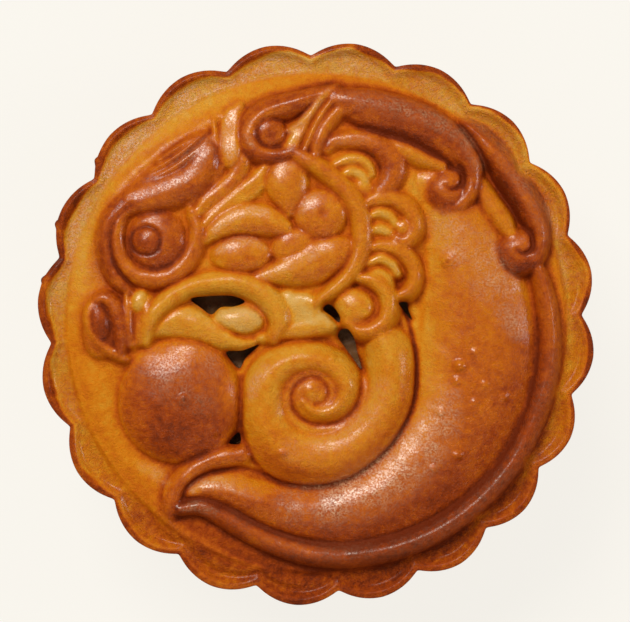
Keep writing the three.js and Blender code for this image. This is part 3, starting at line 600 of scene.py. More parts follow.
# The eye with its pupil, and the lids rolled round it.
EYE = [
    fold(2.45, 0.84, 0.84, [
        (-26.6, 17.1, 0.98, 0.7), (-28.6, 14.3, 1.32), (-29.1, 11.3, 1.39), (-28.7, 8.5, 1.39),
        (-27.4, 6, 1.25), (-25.8, 4.6, 0.77, 0.8),
    ], section=0.65),
    fold(2.7, 0.74, 0.8, [
        (-26, 16.7, 0.98, 0.85), (-27.3, 14.3, 1.25), (-27.6, 11.6, 1.32), (-27, 9.1, 1.39),
        (-25.5, 7.2, 1.46), (-23, 6.3, 1.53), (-20.2, 6.7, 1.53), (-18, 8.4, 1.53),
        (-16.7, 10.7, 1.46), (-16.4, 13.2, 1.25), (-17.1, 15.5, 0.91, 0.9),
    ], section=0.6),
    mound(2.95, 0.86, 0.88, -22, 11.6, (4.18, 4.39), section=0.5),
    crease(0.5, 0.14, [
        (-23.5, 13.6, 0.56), (-22.3, 13.2, 0.56), (-21.5, 12, 0.56), (-21.6, 10.6, 0.56),
        (-22.6, 9.7, 0.56), (-24, 9.7, 0.56), (-25.1, 10.4, 0.56), (-25.5, 11.8, 0.56),
        (-24.9, 13, 0.56), (-23.5, 13.6, 0.56),
    ]),
    dent(-0.3, 0.06, -23.5, 11.7, (1.25,)),
    crease(0.5, 0.14, [
        (-25.2, 16.7, 0.35, 0.6), (-26.9, 15.3, 0.49), (-27.9, 13.5, 0.53), (-28.2, 11.4, 0.53),
        (-28, 9.3, 0.53), (-27.2, 7.5, 0.49), (-25.8, 6, 0.42, 0.6),
    ]),
    crease(0.3, 0.1, [
        (-28, 16.7, 0.35, 0.5), (-29.3, 14.5, 0.45), (-29.7, 11.6, 0.47), (-29.5, 8.8, 0.45),
        (-28.6, 6.3, 0.35, 0.5),
    ]),
]

# The nose, its wing and the folds behind it.
NOSE = [
    mound(1.7, 0.6, 0.6, -29.3, -0.3, (2.93, 4.6), tilt=-12, section=0.35),
    fold(2.15, 0.6, 0.56, [
        (-30.6, 3.5, 0.63, 0.8), (-31.5, 2, 0.77), (-31.5, 0, 0.84), (-30.6, -1.7, 0.91),
        (-29.3, -3.2, 0.98), (-27.7, -4.2, 0.98), (-26.3, -4.9, 0.7, 0.8),
    ], section=0.85),
    fold(2.5, 0.8, 0.8, [
        (-30.6, 3.3, 0.84, 0.8), (-29.4, 3.8, 1.11), (-28, 2.8, 1.25), (-27.2, 0.8, 1.32),
        (-26.9, -1.4, 1.32), (-27, -3.6, 0.98, 0.85),
    ], section=0.6),
    mound(2.75, 0.94, 0.96, -29.9, 0.3, (1.53, 3.2), tilt=10, section=0.5),
    fold(2.15, 0.56, 0.5, [
        (-26.2, 4, 0.56, 0.8), (-26, 2.1, 0.91), (-25.9, -0.4, 0.91), (-25.5, -2.8, 0.77, 0.8),
    ]),
    mound(2.4, 0.16, 0.26, -24.4, 3.2, (1.39, 1.81), tilt=-14, section=0.5),
    fold(2.2, 0.56, 0.5, [(-24.5, 1.5, 0.56, 0.7), (-24.5, -0.4, 0.84), (-24.4, -2.5, 0.77, 0.8)]),
    fold(2.45, 0.5, 0.46, [
        (-22.8, 3.8, 0.42, 0.7), (-23.5, 2.1, 0.56), (-23.8, 0.4, 0.7), (-23.7, -1.7, 0.63, 0.8),
    ], section=0.6),
]

# Jaw, teeth and lips round the open mouth.
MOUTH = [
    fold(2.0, 0.26, 0.28, [
        (-22.7, -1, 0.98, 0.7), (-20.6, -0.1, 1.81, 0.9), (-18, 0.3, 2.37), (-15.3, -0.7, 1.95),
        (-13, -2, 1.53), (-10.7, -2.8, 1.11), (-8.8, -2.8, 0.7, 0.8),
    ], section=0.6),
    mound(2.3, 0.15, 0.2, -10.7, 0.7, (3.62, 2.02), tilt=-6, section=0.5),
    fold(2.05, 0.2, 0.25, [
        (-7.7, -2.1, 0.7, 0.7), (-4.6, -1.1, 1.25, 0.9), (-1.1, -0.6, 1.53),
        (2.1, -0.3, 0.98, 0.8),
    ], section=0.6),
    fold(1.85, 0.14, 0.2, [
        (-4, 3.2, 1.67, 0.9), (-2.2, 1, 2.65), (0.4, 0.1, 1.81, 0.85),
    ], section=0.35),
    fold(1.95, 0.18, 0.22, [
        (-4, 2.8, 1.39, 0.85), (-1.8, 2.8, 1.67), (0.1, 2.8, 1.11, 0.85),
    ], section=0.45),
    fold(2.9, 0.4, 0.36, [
        (-23.4, -2.5, 0.84, 0.7), (-23.1, -0.4, 1.25, 0.9), (-22.1, 1.8, 1.53), (-20.1, 3.6, 1.6),
        (-17.4, 5, 1.6), (-14.1, 5.7, 1.74), (-10.6, 5.6, 1.81), (-7.7, 4.5, 1.88),
        (-5.7, 2.5, 1.88), (-5, 0.3, 1.67), (-5.9, -1.8, 1.25, 0.85),
    ], section=0.6),
    crease(0.3, 0.12, [
        (-14.8, 1.4, 0.35, 0.7), (-13.1, 0, 0.49), (-11.1, -1.4, 0.49), (-9.3, -2.2, 0.35, 0.6),
    ]),
]

# The strand that frames the cheek from forehead to mouth.
NECK = [
    fold(3.0, 0.53, 0.5, [
        (-4, 24.4, 0.98, 0.7), (-2, 23.1, 1.32, 0.93), (0.6, 21.6, 1.46), (2.9, 19.8, 1.53),
        (4.9, 17.6, 1.6), (6.1, 14.9, 1.6), (6.4, 12, 1.6), (5.9, 9.2, 1.53), (4.6, 6.8, 1.39),
        (2.9, 5.2, 1.25), (1.1, 3.8, 0.98, 0.9), (-0.1, 2.8, 0.7, 0.7),
    ], section=0.6),
]

# Small bubbles that rose in the oven, and a few that burst.
BLISTERS = [dent(*bubble) for bubble in [
    (-0.45, 0.16, 18.1, 8.8, (0.91,)),
    (0.4, 0.18, 18.1, 8.6, (0.36,)),
    (-0.6, 0.04, 19.8, -5.7, (0.91,)),
    (-0.45, 0.12, -18.1, -10.3, (0.91,)),
    (0.4, 0.18, -18, -10.4, (0.39,)),
    (-0.35, 0.26, -4.6, -17.6, (0.91, 0.56)),
    (-0.4, 0.1, 19.6, -18, (0.84, 0.63)),
    (-0.35, 0.1, 16.3, -19.8, (0.7,)),
    (-0.35, 0.1, 19.4, -7.8, (0.7,)),
    (-0.3, 0.08, 23.3, -8.2, (0.7,)),
    (-0.3, 0.08, 26, -10, (0.7,)),
    (-0.3, 0.06, 17.1, -12.1, (0.63,)),
    (-0.28, 0.06, 21.9, -10.7, (0.63,)),
    (-0.25, 0.04, 21.9, -3.8, (0.63,)),
    (-0.25, 0.06, 15.6, 10.9, (0.56,)),
    (-0.3, 0.04, 2.4, -4.5, (0.56,)),
    (-0.3, 0.06, -15, -12.4, (0.56,)),
    (-0.28, 0.06, -13.9, -14.9, (0.56,)),
]]

# Stretches that are browner or paler than the rest of their shape: mostly oven browning, some
# painted light, as marked.
TANNING = [scorch(*stretch) for stretch in [
    # Painted highlight: paler along the top of the tail.
    (-0.22, [
        (-17, -22.7, 0.98, 0.7), (-14.6, -21.7, 1.25), (-11.6, -21.7, 1.53),
        (-7.1, -22.8, 1.81, 0.6),
    ]),
    (-0.14, [(-24.1, -19.8, 0.98, 0.7), (-22, -20.8, 1.25), (-20.8, -22, 0.98, 0.6)]),
    (0.16, [
        (15.5, 20.2, 0.84, 0.7), (15.6, 18.5, 1.11), (16.7, 16.9, 1.11), (18.7, 16.3, 1.11, 0.7),
    ]),
    (0.16, [
        (25.8, 10.2, 0.98, 0.7), (26.3, 8.5, 1.25), (28.3, 7.7, 1.25), (29.9, 8.5, 1.11, 0.7),
    ]),
    # Painted highlight on the ring beside the second horn's curl.
    (-0.2, [(32.3, 16.4, 0.7, 0.6), (33.2, 14.3, 0.84), (34, 12.1, 0.7, 0.6)]),
    (0.1, [
        (-26.9, 16.2, 0.98, 0.7), (-28.7, 13.4, 1.11), (-29.1, 10.2, 1.11), (-28.3, 7, 0.84, 0.7),
    ]),
    (0.18, [(-9.6, 23.7, 0.7, 0.6), (-7.4, 23, 0.98), (-4.6, 23, 0.84, 0.7)]),
    (0.12, [(-11.6, 19.8, 0.84, 0.7), (-13.5, 18, 0.98), (-15.3, 16.2, 0.84, 0.7)]),
    (0.12, [(-25.8, 1.3, 0.7, 0.6), (-25.6, -1.5, 0.84), (-25.5, -3.6, 0.56, 0.6)]),
    # Painted shade: this and the next four darken the lower halves of the cheek scales, on the side
    # away from the light.
    (0.14, [
        (-12.4, 11.8, 0.98, 0.7), (-9.1, 13.1, 1.39), (-5.9, 13, 1.39), (-3.9, 11.8, 0.84, 0.7),
    ]),
    (0.1, [(-6.7, 17.6, 0.7, 0.6), (-4, 16.4, 1.25), (-3.1, 15.3, 0.84, 0.7)]),
    (0.13, [(-1.4, 13, 0.98, 0.7), (1, 13.1, 1.53), (2.8, 14.1, 0.98, 0.7)]),
    (0.13, [(-12.3, 8.5, 0.98, 0.7), (-9.5, 8.1, 1.11), (-6.8, 8.9, 0.98, 0.7)]),
    (0.12, [
        (-3.2, 6.1, 0.84, 0.7), (-0.1, 7, 1.11), (2.5, 8.1, 1.25), (3.9, 9.5, 0.84, 0.7),
    ]),
    (0.14, [(-5.2, 23.3, 0.84, 0.7), (-2.9, 23.7, 0.98), (-1.3, 22.6, 0.84, 0.7)]),
    (0.09, [(-8.2, 29.9, 1.11, 0.7), (-6, 30.5, 1.11), (-3.2, 31.2, 0.98, 0.6)]),
    (-0.1, [(-10.2, -29.7, 1.11, 0.6), (-1.8, -30.6, 1.39), (5.2, -30.2, 1.11, 0.6)]),
    (0.12, [
        (-20.6, -28.6, 1.25, 0.7), (-17.8, -29.9, 1.25), (-15, -31.3, 1.25),
        (-11.6, -32.7, 1.11, 0.6),
    ]),
    (-0.1, [
        (-13.7, -26.3, 1.25, 0.7), (-10.2, -28, 1.53), (-6, -29.7, 1.53), (1, -31.9, 1.67),
        (5.2, -32.5, 1.67, 0.6),
    ]),
    (-0.1, [(33.8, 11.6, 0.98, 0.7), (34.7, 8.5, 1.11), (35.2, 5.3, 0.98, 0.7)]),
    (0.12, [(-10.4, 22.3, 0.98, 0.7), (-10.7, 20.6, 0.98), (-11.8, 19.1, 0.84, 0.7)]),
    (0.1, [
        (-1.8, 33.3, 1.11, 0.6), (2.4, 33.8, 1.25), (6.5, 33.6, 1.25), (10, 32.7, 1.11, 0.6),
    ]),
    (0.14, [
        (-2.5, 23.8, 1.11, 0.8), (0.3, 22, 1.25), (2.6, 19.9, 1.25), (4.5, 17.7, 1.11, 0.6),
    ]),
    (0.1, [(-19.6, 3.8, 1.11, 0.7), (-17.4, 5, 1.11), (-15.2, 5.9, 1.11, 0.7)]),
    (0.12, [(-19.9, -26.3, 1.39, 0.8), (-19.6, -24, 1.67), (-18.8, -21.9, 1.25, 0.6)]),
    (0.06, [
        (-26.6, 16.4, 1.95, 0.8), (-22.7, 18.5, 2.51), (-18.5, 20.6, 2.51),
        (-15, 24.1, 1.95, 0.8),
    ]),
    (-0.1, [
        (-31.9, -4, 1.67, 0.6), (-29.9, -8.6, 1.95), (-28, -14.2, 1.95), (-24.8, -19.1, 1.81),
        (-22, -23, 1.39, 0.6),
    ]),
    (-0.1, [
        (-27.2, 22, 1.39, 0.6), (-22.7, 26.6, 1.67), (-17.1, 29.9, 1.67),
        (-11.6, 32.2, 1.39, 0.6),
    ]),
    (-0.13, [
        (-29.4, 20.2, 1.39, 0.6), (-31.1, 16.4, 1.67), (-32.3, 12.3, 1.67), (-32.9, 8.1, 1.67),
        (-32.2, 4.3, 1.39, 0.6),
    ]),
]]

# Where dried egg glaze lies as a pale veil, laid where highlights fall as painted sheen, and where
# the crust stays dull.
VEILS = [veil(*streak) for streak in [
    (0.8, 0, [
        (17.1, 14.1, 2.51, 0.7), (20.8, 10.7, 3.9), (24.9, 5.3, 3.9), (27.7, -0.3, 2.51, 0.8),
    ]),
    (0.9, 0, [
        (18.5, -9.6, 2.23, 0.6), (16.6, -14.2, 3.9), (12.1, -19.4, 4.74), (5.2, -23.8, 4.74),
        (-3.2, -25.1, 3.34, 0.6),
    ]),
    (0.35, 0, [(-22.7, -5.9, 3.34, 0.7), (-18.5, -7.7, 4.74), (-15, -10, 3.34, 0.7)]),
    (0.55, 0, [
        (3.5, 31.2, 1.11, 0.7), (7.2, 30.6, 1.81), (12.1, 29.7, 1.81), (16.6, 28.1, 1.67),
        (20.5, 25.4, 1.39), (22.4, 21.9, 1.25, 0.7),
    ]),
    (0.3, 0, [
        (24.9, 24.1, 1.25, 0.7), (27.7, 20.6, 1.53), (30.2, 16.4, 1.53), (31.6, 12.3, 1.25, 0.7),
    ]),
    (0.4, 0, [
        (9.1, -8.6, 1.95, 0.7), (6.8, -12.8, 2.51), (2.4, -16.3, 2.51), (-3.2, -17.1, 2.23, 0.7),
    ]),
    (0.45, 0, [
        (-22.7, 18.1, 0.7, 0.7), (-19.2, 19.4, 0.84), (-16.3, 21.3, 0.84),
        (-14.6, 24.1, 0.98, 0.7),
    ]),
    (0.4, 0, [(-20.6, 21, 0.84, 0.7), (-17.6, 23.4, 1.11), (-14.6, 25.5, 1.11, 0.7)]),
    (0.12, 0, [
        (32.7, 3.2, 1.67, 0.7), (33, -5.2, 1.81), (30.2, -14.2, 1.81), (26, -20.8, 1.81),
        (17.7, -28, 1.81), (7.9, -31.3, 1.81), (-3.2, -30.8, 1.81), (-11.6, -26.6, 1.67, 0.7),
    ]),
    (0, 0.4, [
        (32.7, 3.2, 1.67, 0.8), (33, -5.2, 1.81), (30.2, -14.2, 1.81), (26, -20.8, 1.81),
        (17.7, -28, 1.81), (7.9, -31.3, 1.81), (-3.2, -30.8, 1.81), (-11.6, -26.6, 1.67, 0.8),
    ]),
    (1.1, 0, [
        (-17, -22.7, 0.84, 0.7), (-14.8, -21.9, 1.11), (-11.6, -22.1, 1.25),
        (-8.1, -23.3, 1.25, 0.6),
    ]),
    (0.5, 0, [(-24.1, -19.8, 0.98, 0.7), (-22, -20.8, 1.25), (-20.9, -21.9, 0.98, 0.7)]),
    (0.5, 0, [(33.8, 11.6, 0.98, 0.7), (34.7, 8.5, 1.11), (35.2, 5.3, 0.98, 0.7)]),
    (0.9, 0, [
        (1.7, 32.3, 0.56, 0.7), (-0.4, 29.8, 0.7), (-2.1, 27.7, 0.7), (-3.6, 26.7, 0.56, 0.7),
    ]),
    (0.7, 0, [(-2.4, 26.5, 0.7, 0.7), (-3.2, 25.2, 0.7), (-3.6, 24.2, 0.42, 0.7)]),
    (0.6, 0, [(2.6, 25.2, 0.56, 0.7), (4.5, 25.6, 0.84), (6.8, 25.5, 0.7, 0.7)]),
    (1.3, 0, [(-9.1, 27.9, 0.56, 0.7), (-9.5, 26.2, 0.7), (-8.9, 24.7, 0.56, 0.7)]),
    (0.5, 0, [(-16.6, -3.8, 1.25, 0.7), (-14.9, -5, 1.67), (-13.5, -6.7, 1.11, 0.7)]),
    (0.8, 0, [(32, 16.7, 0.7, 0.7), (33, 14.5, 0.98), (34, 12.1, 0.84, 0.7)]),
    (1.8, 0, [
        (-13.9, 13, 0.56, 0.7), (-12.1, 14.5, 0.84), (-9.5, 15.6, 0.98), (-6.8, 15.5, 0.7, 0.7),
    ]),
    (1.2, 0, [
        (-13.5, 10, 0.56, 0.7), (-11.8, 11.1, 0.84), (-9.3, 11.6, 0.84), (-7.1, 10.6, 0.56, 0.7),
    ]),
    (0.6, 0, [(-2, 15.6, 0.7, 0.7), (-1.1, 17, 0.98), (0.3, 17.7, 0.7, 0.7)]),
    (0.6, 0, [(-5.4, 20.5, 0.84, 0.7), (-4.6, 21.7, 0.98), (-3.2, 22, 0.7, 0.7)]),
    (1.3, 0, [
        (-7.1, 6.7, 0.56, 0.7), (-4.2, 7.8, 0.84), (-1.5, 8.9, 0.98), (0.7, 10.2, 0.7, 0.7),
    ]),
    (0.9, 0, [(-8.8, -10, 0.84, 0.7), (-8.2, -7.9, 1.11), (-7.1, -6, 0.98, 0.7)]),
    (0, 0.7, [
        (-21.3, 2.8, 1.25, 0.8), (-19.2, 4.3, 1.53), (-17.1, 5.2, 1.67), (-14.1, 5.7, 1.67),
        (-10.2, 5.4, 1.39, 0.7),
    ]),
    (0.5, 0, [(-18.5, -25.4, 0.56, 0.8), (-16.4, -25.1, 0.98), (-14.1, -26, 0.84, 0.7)]),
    (2.2, 0, [(-11.8, 28.8, 0.84, 0.7), (-12.3, 26.3, 1.11), (-11.7, 23.7, 1.11, 0.8)]),
    (0, 0.4, [(-30.2, 3.2, 1.67, 0.8), (-29.7, 0.4, 1.95), (-29.1, -2.4, 1.39, 0.8)]),
    (0, 0.3, [
        (4.5, 31.3, 1.95, 0.8), (10, 29.9, 2.51), (15.6, 28.3, 2.51), (19.8, 24.8, 2.09),
        (21.3, 21, 1.67, 0.8),
    ]),
    (0, 0.5, [
        (8.2, -1.7, 3.34, 0.8), (10.2, -7.7, 3.76), (7.9, -14.3, 4.04), (2.4, -18, 4.04),
        (-3.9, -17.3, 4.04), (-7.1, -12.1, 3.76), (-6.3, -6.5, 3.48), (-1.1, -4, 2.79, 0.8),
    ]),
    (0, 0.5, [(-22.7, -6.5, 4.18, 0.8), (-19.2, -8.6, 5.57), (-15, -10.7, 5.01, 0.8)]),
    (0, 0.4, [
        (7.4, 10.6, 1.25, 0.8), (11.4, 10.2, 1.67), (13.8, 6.7, 1.67), (12.1, 4.3, 1.39, 0.8),
    ]),
    (0, 0.3, [
        (8.2, 17.1, 1.25, 0.8), (11.8, 16.7, 1.67), (13.8, 14.1, 1.67), (12.4, 11.6, 1.39, 0.8),
    ]),
    (0.45, 0, [(-12.7, 0.4, 1.39, 0.8), (-10.2, 1.3, 1.81), (-7.7, 1.5, 1.39, 0.8)]),
    (0, 0.75, [
        (-28.6, 14.1, 1.25, 0.7), (-26.9, 18.2, 2.09), (-24.1, 21, 2.37), (-20.9, 23.7, 2.37),
        (-17.6, 25.9, 2.23), (-14.8, 27.9, 1.81), (-13.2, 29.4, 1.25, 0.7),
    ]),
]]

# Outlines of the open folds, each closed by a smooth line.
OPEN_FOLDS = [
    [
        (-17.4, 3.5), (-15.7, 3.9), (-11.8, 4), (-9.9, 3.2), (-11.3, 2.5), (-13.2, 2.4),
        (-14.5, 1.4), (-16, 2.3),
    ],
    [(-12.5, -3.8), (-10.2, -3.6), (-7.9, -2.8), (-9.8, -4.7), (-10.6, -6.1), (-11.6, -5.4)],
    [(1, 2.1), (1.6, 2.8), (2.4, 2.5), (3.3, 1.2), (3.2, 0.3), (2.1, 1.2)],
    [
        (3.1, -1.7), (3.5, -0.7), (4.5, -0.7), (5.4, -2.1), (5.8, -3.9), (6.4, -6.3), (5.1, -4.6),
        (4, -3.1),
    ],
    [(-12.1, -16.5), (-11, -15.1), (-10.5, -15.4), (-10.6, -16.6)],
    [(11.5, 3), (12.7, 3.1), (12.9, 2.1), (13.4, 0.6), (12.2, 2)],
]

# The figure's groups, in the order in which they are laid over each other.
FIGURE = (BODY, COIL, PEARL, CHEEK_SCALES, HORNS, MANE_SCROLLS, FOREHEAD_SCROLL, BROW, EYE, NOSE,
          MOUTH, NECK, VEILS)


# ---------------------------------------------------------------- the figure's heights

class Relief:
    """Height and browning of the figure on a square grid, in millimetres."""

    def __init__(self):
        self.line = np.arange(-GRID_HALF, GRID_HALF + GRID_STEP / 2, GRID_STEP)
        count = len(self.line)
        self.height = np.zeros((count, count))
        self.floor = np.zeros((count, count))
        self.brown = np.full((count, count), PLAIN_BROWN)
        # Dry glaze laid by the veils, which is also painted sheen, and where the shine is lost.
        self.dust_and_sheen = np.zeros((count, count))
        self.dull = np.zeros((count, count))
        self.x, self.y = np.meshgrid(self.line, self.line)

    def window(self, low, high):
        """The rows and columns of the grid that hold a box."""
        first = np.floor((np.asarray(low) + GRID_HALF) / GRID_STEP).astype(int)
        last = np.ceil((np.asarray(high) + GRID_HALF) / GRID_STEP).astype(int) + 1
        first, last = np.clip(first, 0, len(self.line)), np.clip(last, 0, len(self.line))
        return slice(first[1], last[1]), slice(first[0], last[0])

    def line_share(self, line, section):
        """1 on the crest of a fold and 0 from its edge outwards."""
        share = np.zeros_like(self.height)
        for start, end in zip(line[:-1], line[1:]):
            reach = max(start[2], end[2])
            low, high = np.minimum(start[:2], end[:2]), np.maximum(start[:2], end[:2])
            box = self.window(low - reach, high + reach)
            x, y = self.x[box] - start[0], self.y[box] - start[1]
            run = end - start
            t = np.clip((x * run[0] + y * run[1]) / (run[0] ** 2 + run[1] ** 2), 0, 1)
            away = np.hypot(x - t * run[0], y - t * run[1]) / (start[2] + t * run[2])
            if section == "sharp":
                near = np.clip(1 - away, 0, 1) ** SHARP_SECTION
            else:
                near = np.clip(1 - away ** 2, 0, 1) ** section
            near *= start[3] + t * run[3]
            share[box] = np.maximum(share[box], near)
        return share

    def oval_share(self, place, section):
        """1 in the middle of an oval and 0 from its edge outwards."""
        x, y, radius_x, radius_y, tilt = place
        dx, dy = self.x - x, self.y - y
        along = (dx * cos(tilt) + dy * sin(tilt)) / radius_x
        across = (dy * cos(tilt) - dx * sin(tilt)) / radius_y
        return np.clip(1 - along ** 2 - across ** 2, 0, 1) ** section

    def lay(self, shapes):
        """Lays shapes over what is there, one after the other."""
        for part in shapes:
            find_share = self.oval_share if isinstance(part["place"], tuple) else self.line_share
            share = find_share(part["place"], part["section"])
            if part["kind"] == "press":
                self.height += part["height"] * share
                self.brown += part["crest"] * share
            elif part["kind"] == "veil":
                self.dust_and_sheen = np.maximum(self.dust_and_sheen, part["dust_and_sheen"] * share)
                self.dull = np.maximum(self.dull, part["dull"] * share)
            else:
                self.raise_part(part, share)

    def raise_part(self, part, share):
        """Raises a shape over what is there, with a soft crease where they meet."""
        rise = np.where(share > 0, self.floor + (part["height"] - self.floor) * share, 0)
        soft = CREASE * np.clip(share * 4, 0.01, 1)
        over = np.clip(0.5 + 0.5 * (rise - self.height) / soft, 0, 1)
        over = np.where(share > 0, over, 0)
        self.height += (rise - self.height) * over + soft * over * (1 - over)
        tone = part["edge"] + (part["crest"] - part["edge"]) * share
        tone = VALLEY_BROWN + (tone - VALLEY_BROWN) * np.clip(share * 2.5, 0, 1)
        self.brown += (tone - self.brown) * over

    def sample(self, values, x, y):
        """Reads a grid of values at points, evenly between its own points."""
        column = np.clip((x + GRID_HALF) / GRID_STEP, 0, len(self.line) - 1.001)
        row = np.clip((y + GRID_HALF) / GRID_STEP, 0, len(self.line) - 1.001)
        i, j = column.astype(int), row.astype(int)
        u, v = column - i, row - j
        low = values[j, i] * (1 - u) + values[j, i + 1] * u
        high = values[j + 1, i] * (1 - u) + values[j + 1, i + 1] * u
        return low * (1 - v) + high * v


def soften(values, sigma):
    """Rounds a grid of values off, as a Gaussian blur does."""
    reach = int(np.ceil(3 * sigma / GRID_STEP))
    steps = np.arange(-reach, reach + 1)
    weights = np.exp(-0.5 * (steps * GRID_STEP / sigma) ** 2)
    weights /= weights.sum()
    for axis in (0, 1):
        margins = [(reach, reach) if k == axis else (0, 0) for k in (0, 1)]
        padded = np.pad(values, margins, "edge")
        length = values.shape[axis]
        values = sum(w * np.take(padded, range(k, k + length), axis) for k, w in enumerate(weights))
    return values


def lumps(relief, size, seed):
    """Soft random lumps of about the given size, with a spread of 1."""
    values = np.random.default_rng(seed).standard_normal(relief.height.shape)
    values = soften(values, size)
    return values / values.std()


def lip_share(relief, outline):
    """1 in an open fold, falling to 0 where its rolled edge ends."""
    ring = closed_line(outline)
    box = relief.window(ring.min(0) - GAP_LIP, ring.max(0) + GAP_LIP)
    x, y = relief.x[box], relief.y[box]
    away = np.full(x.shape, np.inf)
    inside = np.zeros(x.shape, bool)
    for start, end in zip(ring, np.roll(ring, -1, 0)):
        run = end - start
        t = np.clip(((x - start[0]) * run[0] + (y - start[1]) * run[1]) / (run @ run), 0, 1)
        away = np.minimum(away, np.hypot(x - start[0] - t * run[0], y - start[1] - t * run[1]))
        crosses = (start[1] > y) != (end[1] > y)
        level = start[0] + run[0] * (y - start[1]) / (run[1] if run[1] else 1e-9)
        inside ^= crosses & (x < level)
    return box, np.where(inside, 1, np.clip(1 - away / GAP_LIP, 0, 1) ** 2)


def figure():
    """The whole figure: every shape laid over the ones before it, then rounded off."""
    relief = Relief()
    relief.lay(UNDERLAY)
    relief.floor = soften(relief.height, UNDERLAY_SOFTNESS)
    relief.height = relief.floor.copy()
    for group in FIGURE:
        relief.lay(group)
    for outline in OPEN_FOLDS:
        box, share = lip_share(relief, outline)
        relief.height[box] -= GAP_LIP_DROP * share
    broad = soften(relief.height, SETTLE_WIDTH)
    crest = relief.height - broad
    relief.height = broad + np.where(crest > 0, SETTLE * crest, crest)
    relief.lay(BLISTERS + TANNING)

    relief.height = soften(relief.height, FIGURE_SOFTNESS)
    # Hollows and sharp creases are painted darker here: painted shade.
    hollow = soften(relief.height, CREASE_WIDTH) - relief.height
    narrow = np.clip((soften(relief.height, NARROW_WIDTH) - relief.height) / 0.1, 0, 1)
    relief.brown += CREASE_PAINTED_SHADE * np.clip(hollow / 0.4, -0.3, 1)
    relief.brown = soften(relief.brown, BROWN_SOFTNESS) + NARROW_PAINTED_SHADE * narrow
    crown = np.clip((relief.height - soften(relief.height, CROWN_WIDTH)) / 0.45, 0, 1)
    relief.gloss = 1 - np.maximum(np.clip(hollow / 0.2, 0, 1), narrow)
    relief.gloss *= 1 - CROWN_WEAR * crown
    relief.gloss *= 1 - relief.dull
    relief.height += sum(height * lumps(relief, size, seed) for height, size, seed in SKIN_LUMPS)
    relief.patches = lumps(relief, PATCH_SIZE, PATCH_SEED)
    return relief


# ---------------------------------------------------------------- short ways to write nodes

def sign(operation, turned=False):
    """What a sign such as + does with two values: it adds a Math node."""
    def add_node(self, other):
        values = (other, self) if turned else (self, other)
        return self.nodes.math(operation, *values)
    return add_node


class Value:
    """A socket of a node tree, which can be reckoned with."""

    def __init__(self, nodes, socket):
        self.nodes = nodes
        self.socket = socket

    __add__ = __radd__ = sign("ADD")
    __mul__ = __rmul__ = sign("MULTIPLY")
    __pow__ = sign("POWER")
    __sub__, __rsub__ = sign("SUBTRACT"), sign("SUBTRACT", turned=True)
    __truediv__, __rtruediv__ = sign("DIVIDE"), sign("DIVIDE", turned=True)


class Nodes:
    """Adds nodes to a tree, sets their plain inputs and links the rest."""

    def __init__(self, tree):
        self.tree = tree

    def fill(self, node, inputs):
        for socket, value in inputs.items():
            if isinstance(value, Value):
                self.tree.links.new(value.socket, node.inputs[socket])
            else:
                node.inputs[socket].default_value = value

    def new(self, kind, inputs=None, **settings):
        """A new node with its settings and its inputs."""
        node = self.tree.nodes.new(kind)
        for name, value in settings.items():
            setattr(node, name, value)
        self.fill(node, inputs or {})
        return node

    def add(self, kind, inputs=None, output=0, **settings):
        """One output of a new node."""
        return Value(self, self.new(kind, inputs, **settings).outputs[output])

    def math(self, operation, *values):
        return self.add("ShaderNodeMath", dict(enumerate(values)), operation=operation)

    def mix(self, share, low, high):
        return self.add("ShaderNodeMix", {0: share, 2: low, 3: high})

    def colour_mix(self, share, low, high):
        return self.add("ShaderNodeMix", {0: share, 6: low, 7: high}, 2, data_type="RGBA")

    def spread(self, value, low, high, to_low=0.0, to_high=1.0, how="LINEAR"):
        """Takes values between low and high to values between to_low and to_high."""
        inputs = {0: value, 1: low, 2: high, 3: to_low, 4: to_high}
        return self.add("ShaderNodeMapRange", inputs, interpolation_type=how)

    def smooth_step(self, value, low, high):
        return self.spread(value, low, high, how="SMOOTHSTEP")


def new_input(tree, name, kind, value=None):
    socket = tree.interface.new_socket(name, in_out="INPUT", socket_type=kind)
    if value is not None:
        socket.default_value = value


def group_values(n):
    """The inputs of a tree's group by their names."""
    start = n.new("NodeGroupInput")
    return {socket.name: Value(n, socket) for socket in start.outputs if socket.name}


# ---------------------------------------------------------------- the case, by Geometry Nodes

CASE_INPUTS = [
    "petals", "petal_circle", "petal_radius", "petal_turn", "petal_drift", "petal_drift_from",
    "notch_softness", "ovality", "oval_turn", "centre_x", "centre_y", "top_level", "top_crown",
    "rim_rise", "rim_middle", "rim_half_width", "thick_side", "dish_depth", "dish_edge",
    "ring_edge", "ring_drop", "roll_middle", "roll_half_width", "roll_rise",
]
RING_STEP = 0.0005  # metres over which the plain ring passes into the petals


def label(name):
    return name.replace("_", " ").capitalize()


def petal_outline(n, size, angle):
    """Distance from the middle to the outline, an arc in each petal, and the petal's fullness."""
    step = 2 * pi / size["petals"]
    drift = size["petal_drift"] * n.math("COSINE", angle - size["petal_drift_from"])
    from_notch = angle - (size["petal_turn"] + drift)
    in_petal = n.math("FLOORED_MODULO", from_notch, step) - step * 0.5
    sideways = size["petal_circle"] * n.math("SINE", n.math("ABSOLUTE", in_petal))
    notch = size["petal_circle"] * n.math("SINE", step * 0.5)
    softness = size["notch_softness"]
    soft = notch - n.math("SQRT", (notch - sideways) ** 2.0 + softness ** 2.0) + softness
    beyond = n.math("SQRT", size["petal_radius"] ** 2.0 - soft ** 2.0)
    arc = size["petal_circle"] * n.math("COSINE", in_petal) + beyond
    outline = arc + size["ovality"] * n.math("COSINE", (angle - size["oval_turn"]) * 2.0)
    fullness = 1.0 - (sideways / notch) ** 2.0
    return outline, fullness


def hump(n, distance, middle, half_width):
    """1 at the middle of a raised line, falling away on both sides."""
    across = n.math("ABSOLUTE", (distance - middle) / half_width)
    return n.math("EXPONENT", across ** 2.0 * -1.0)


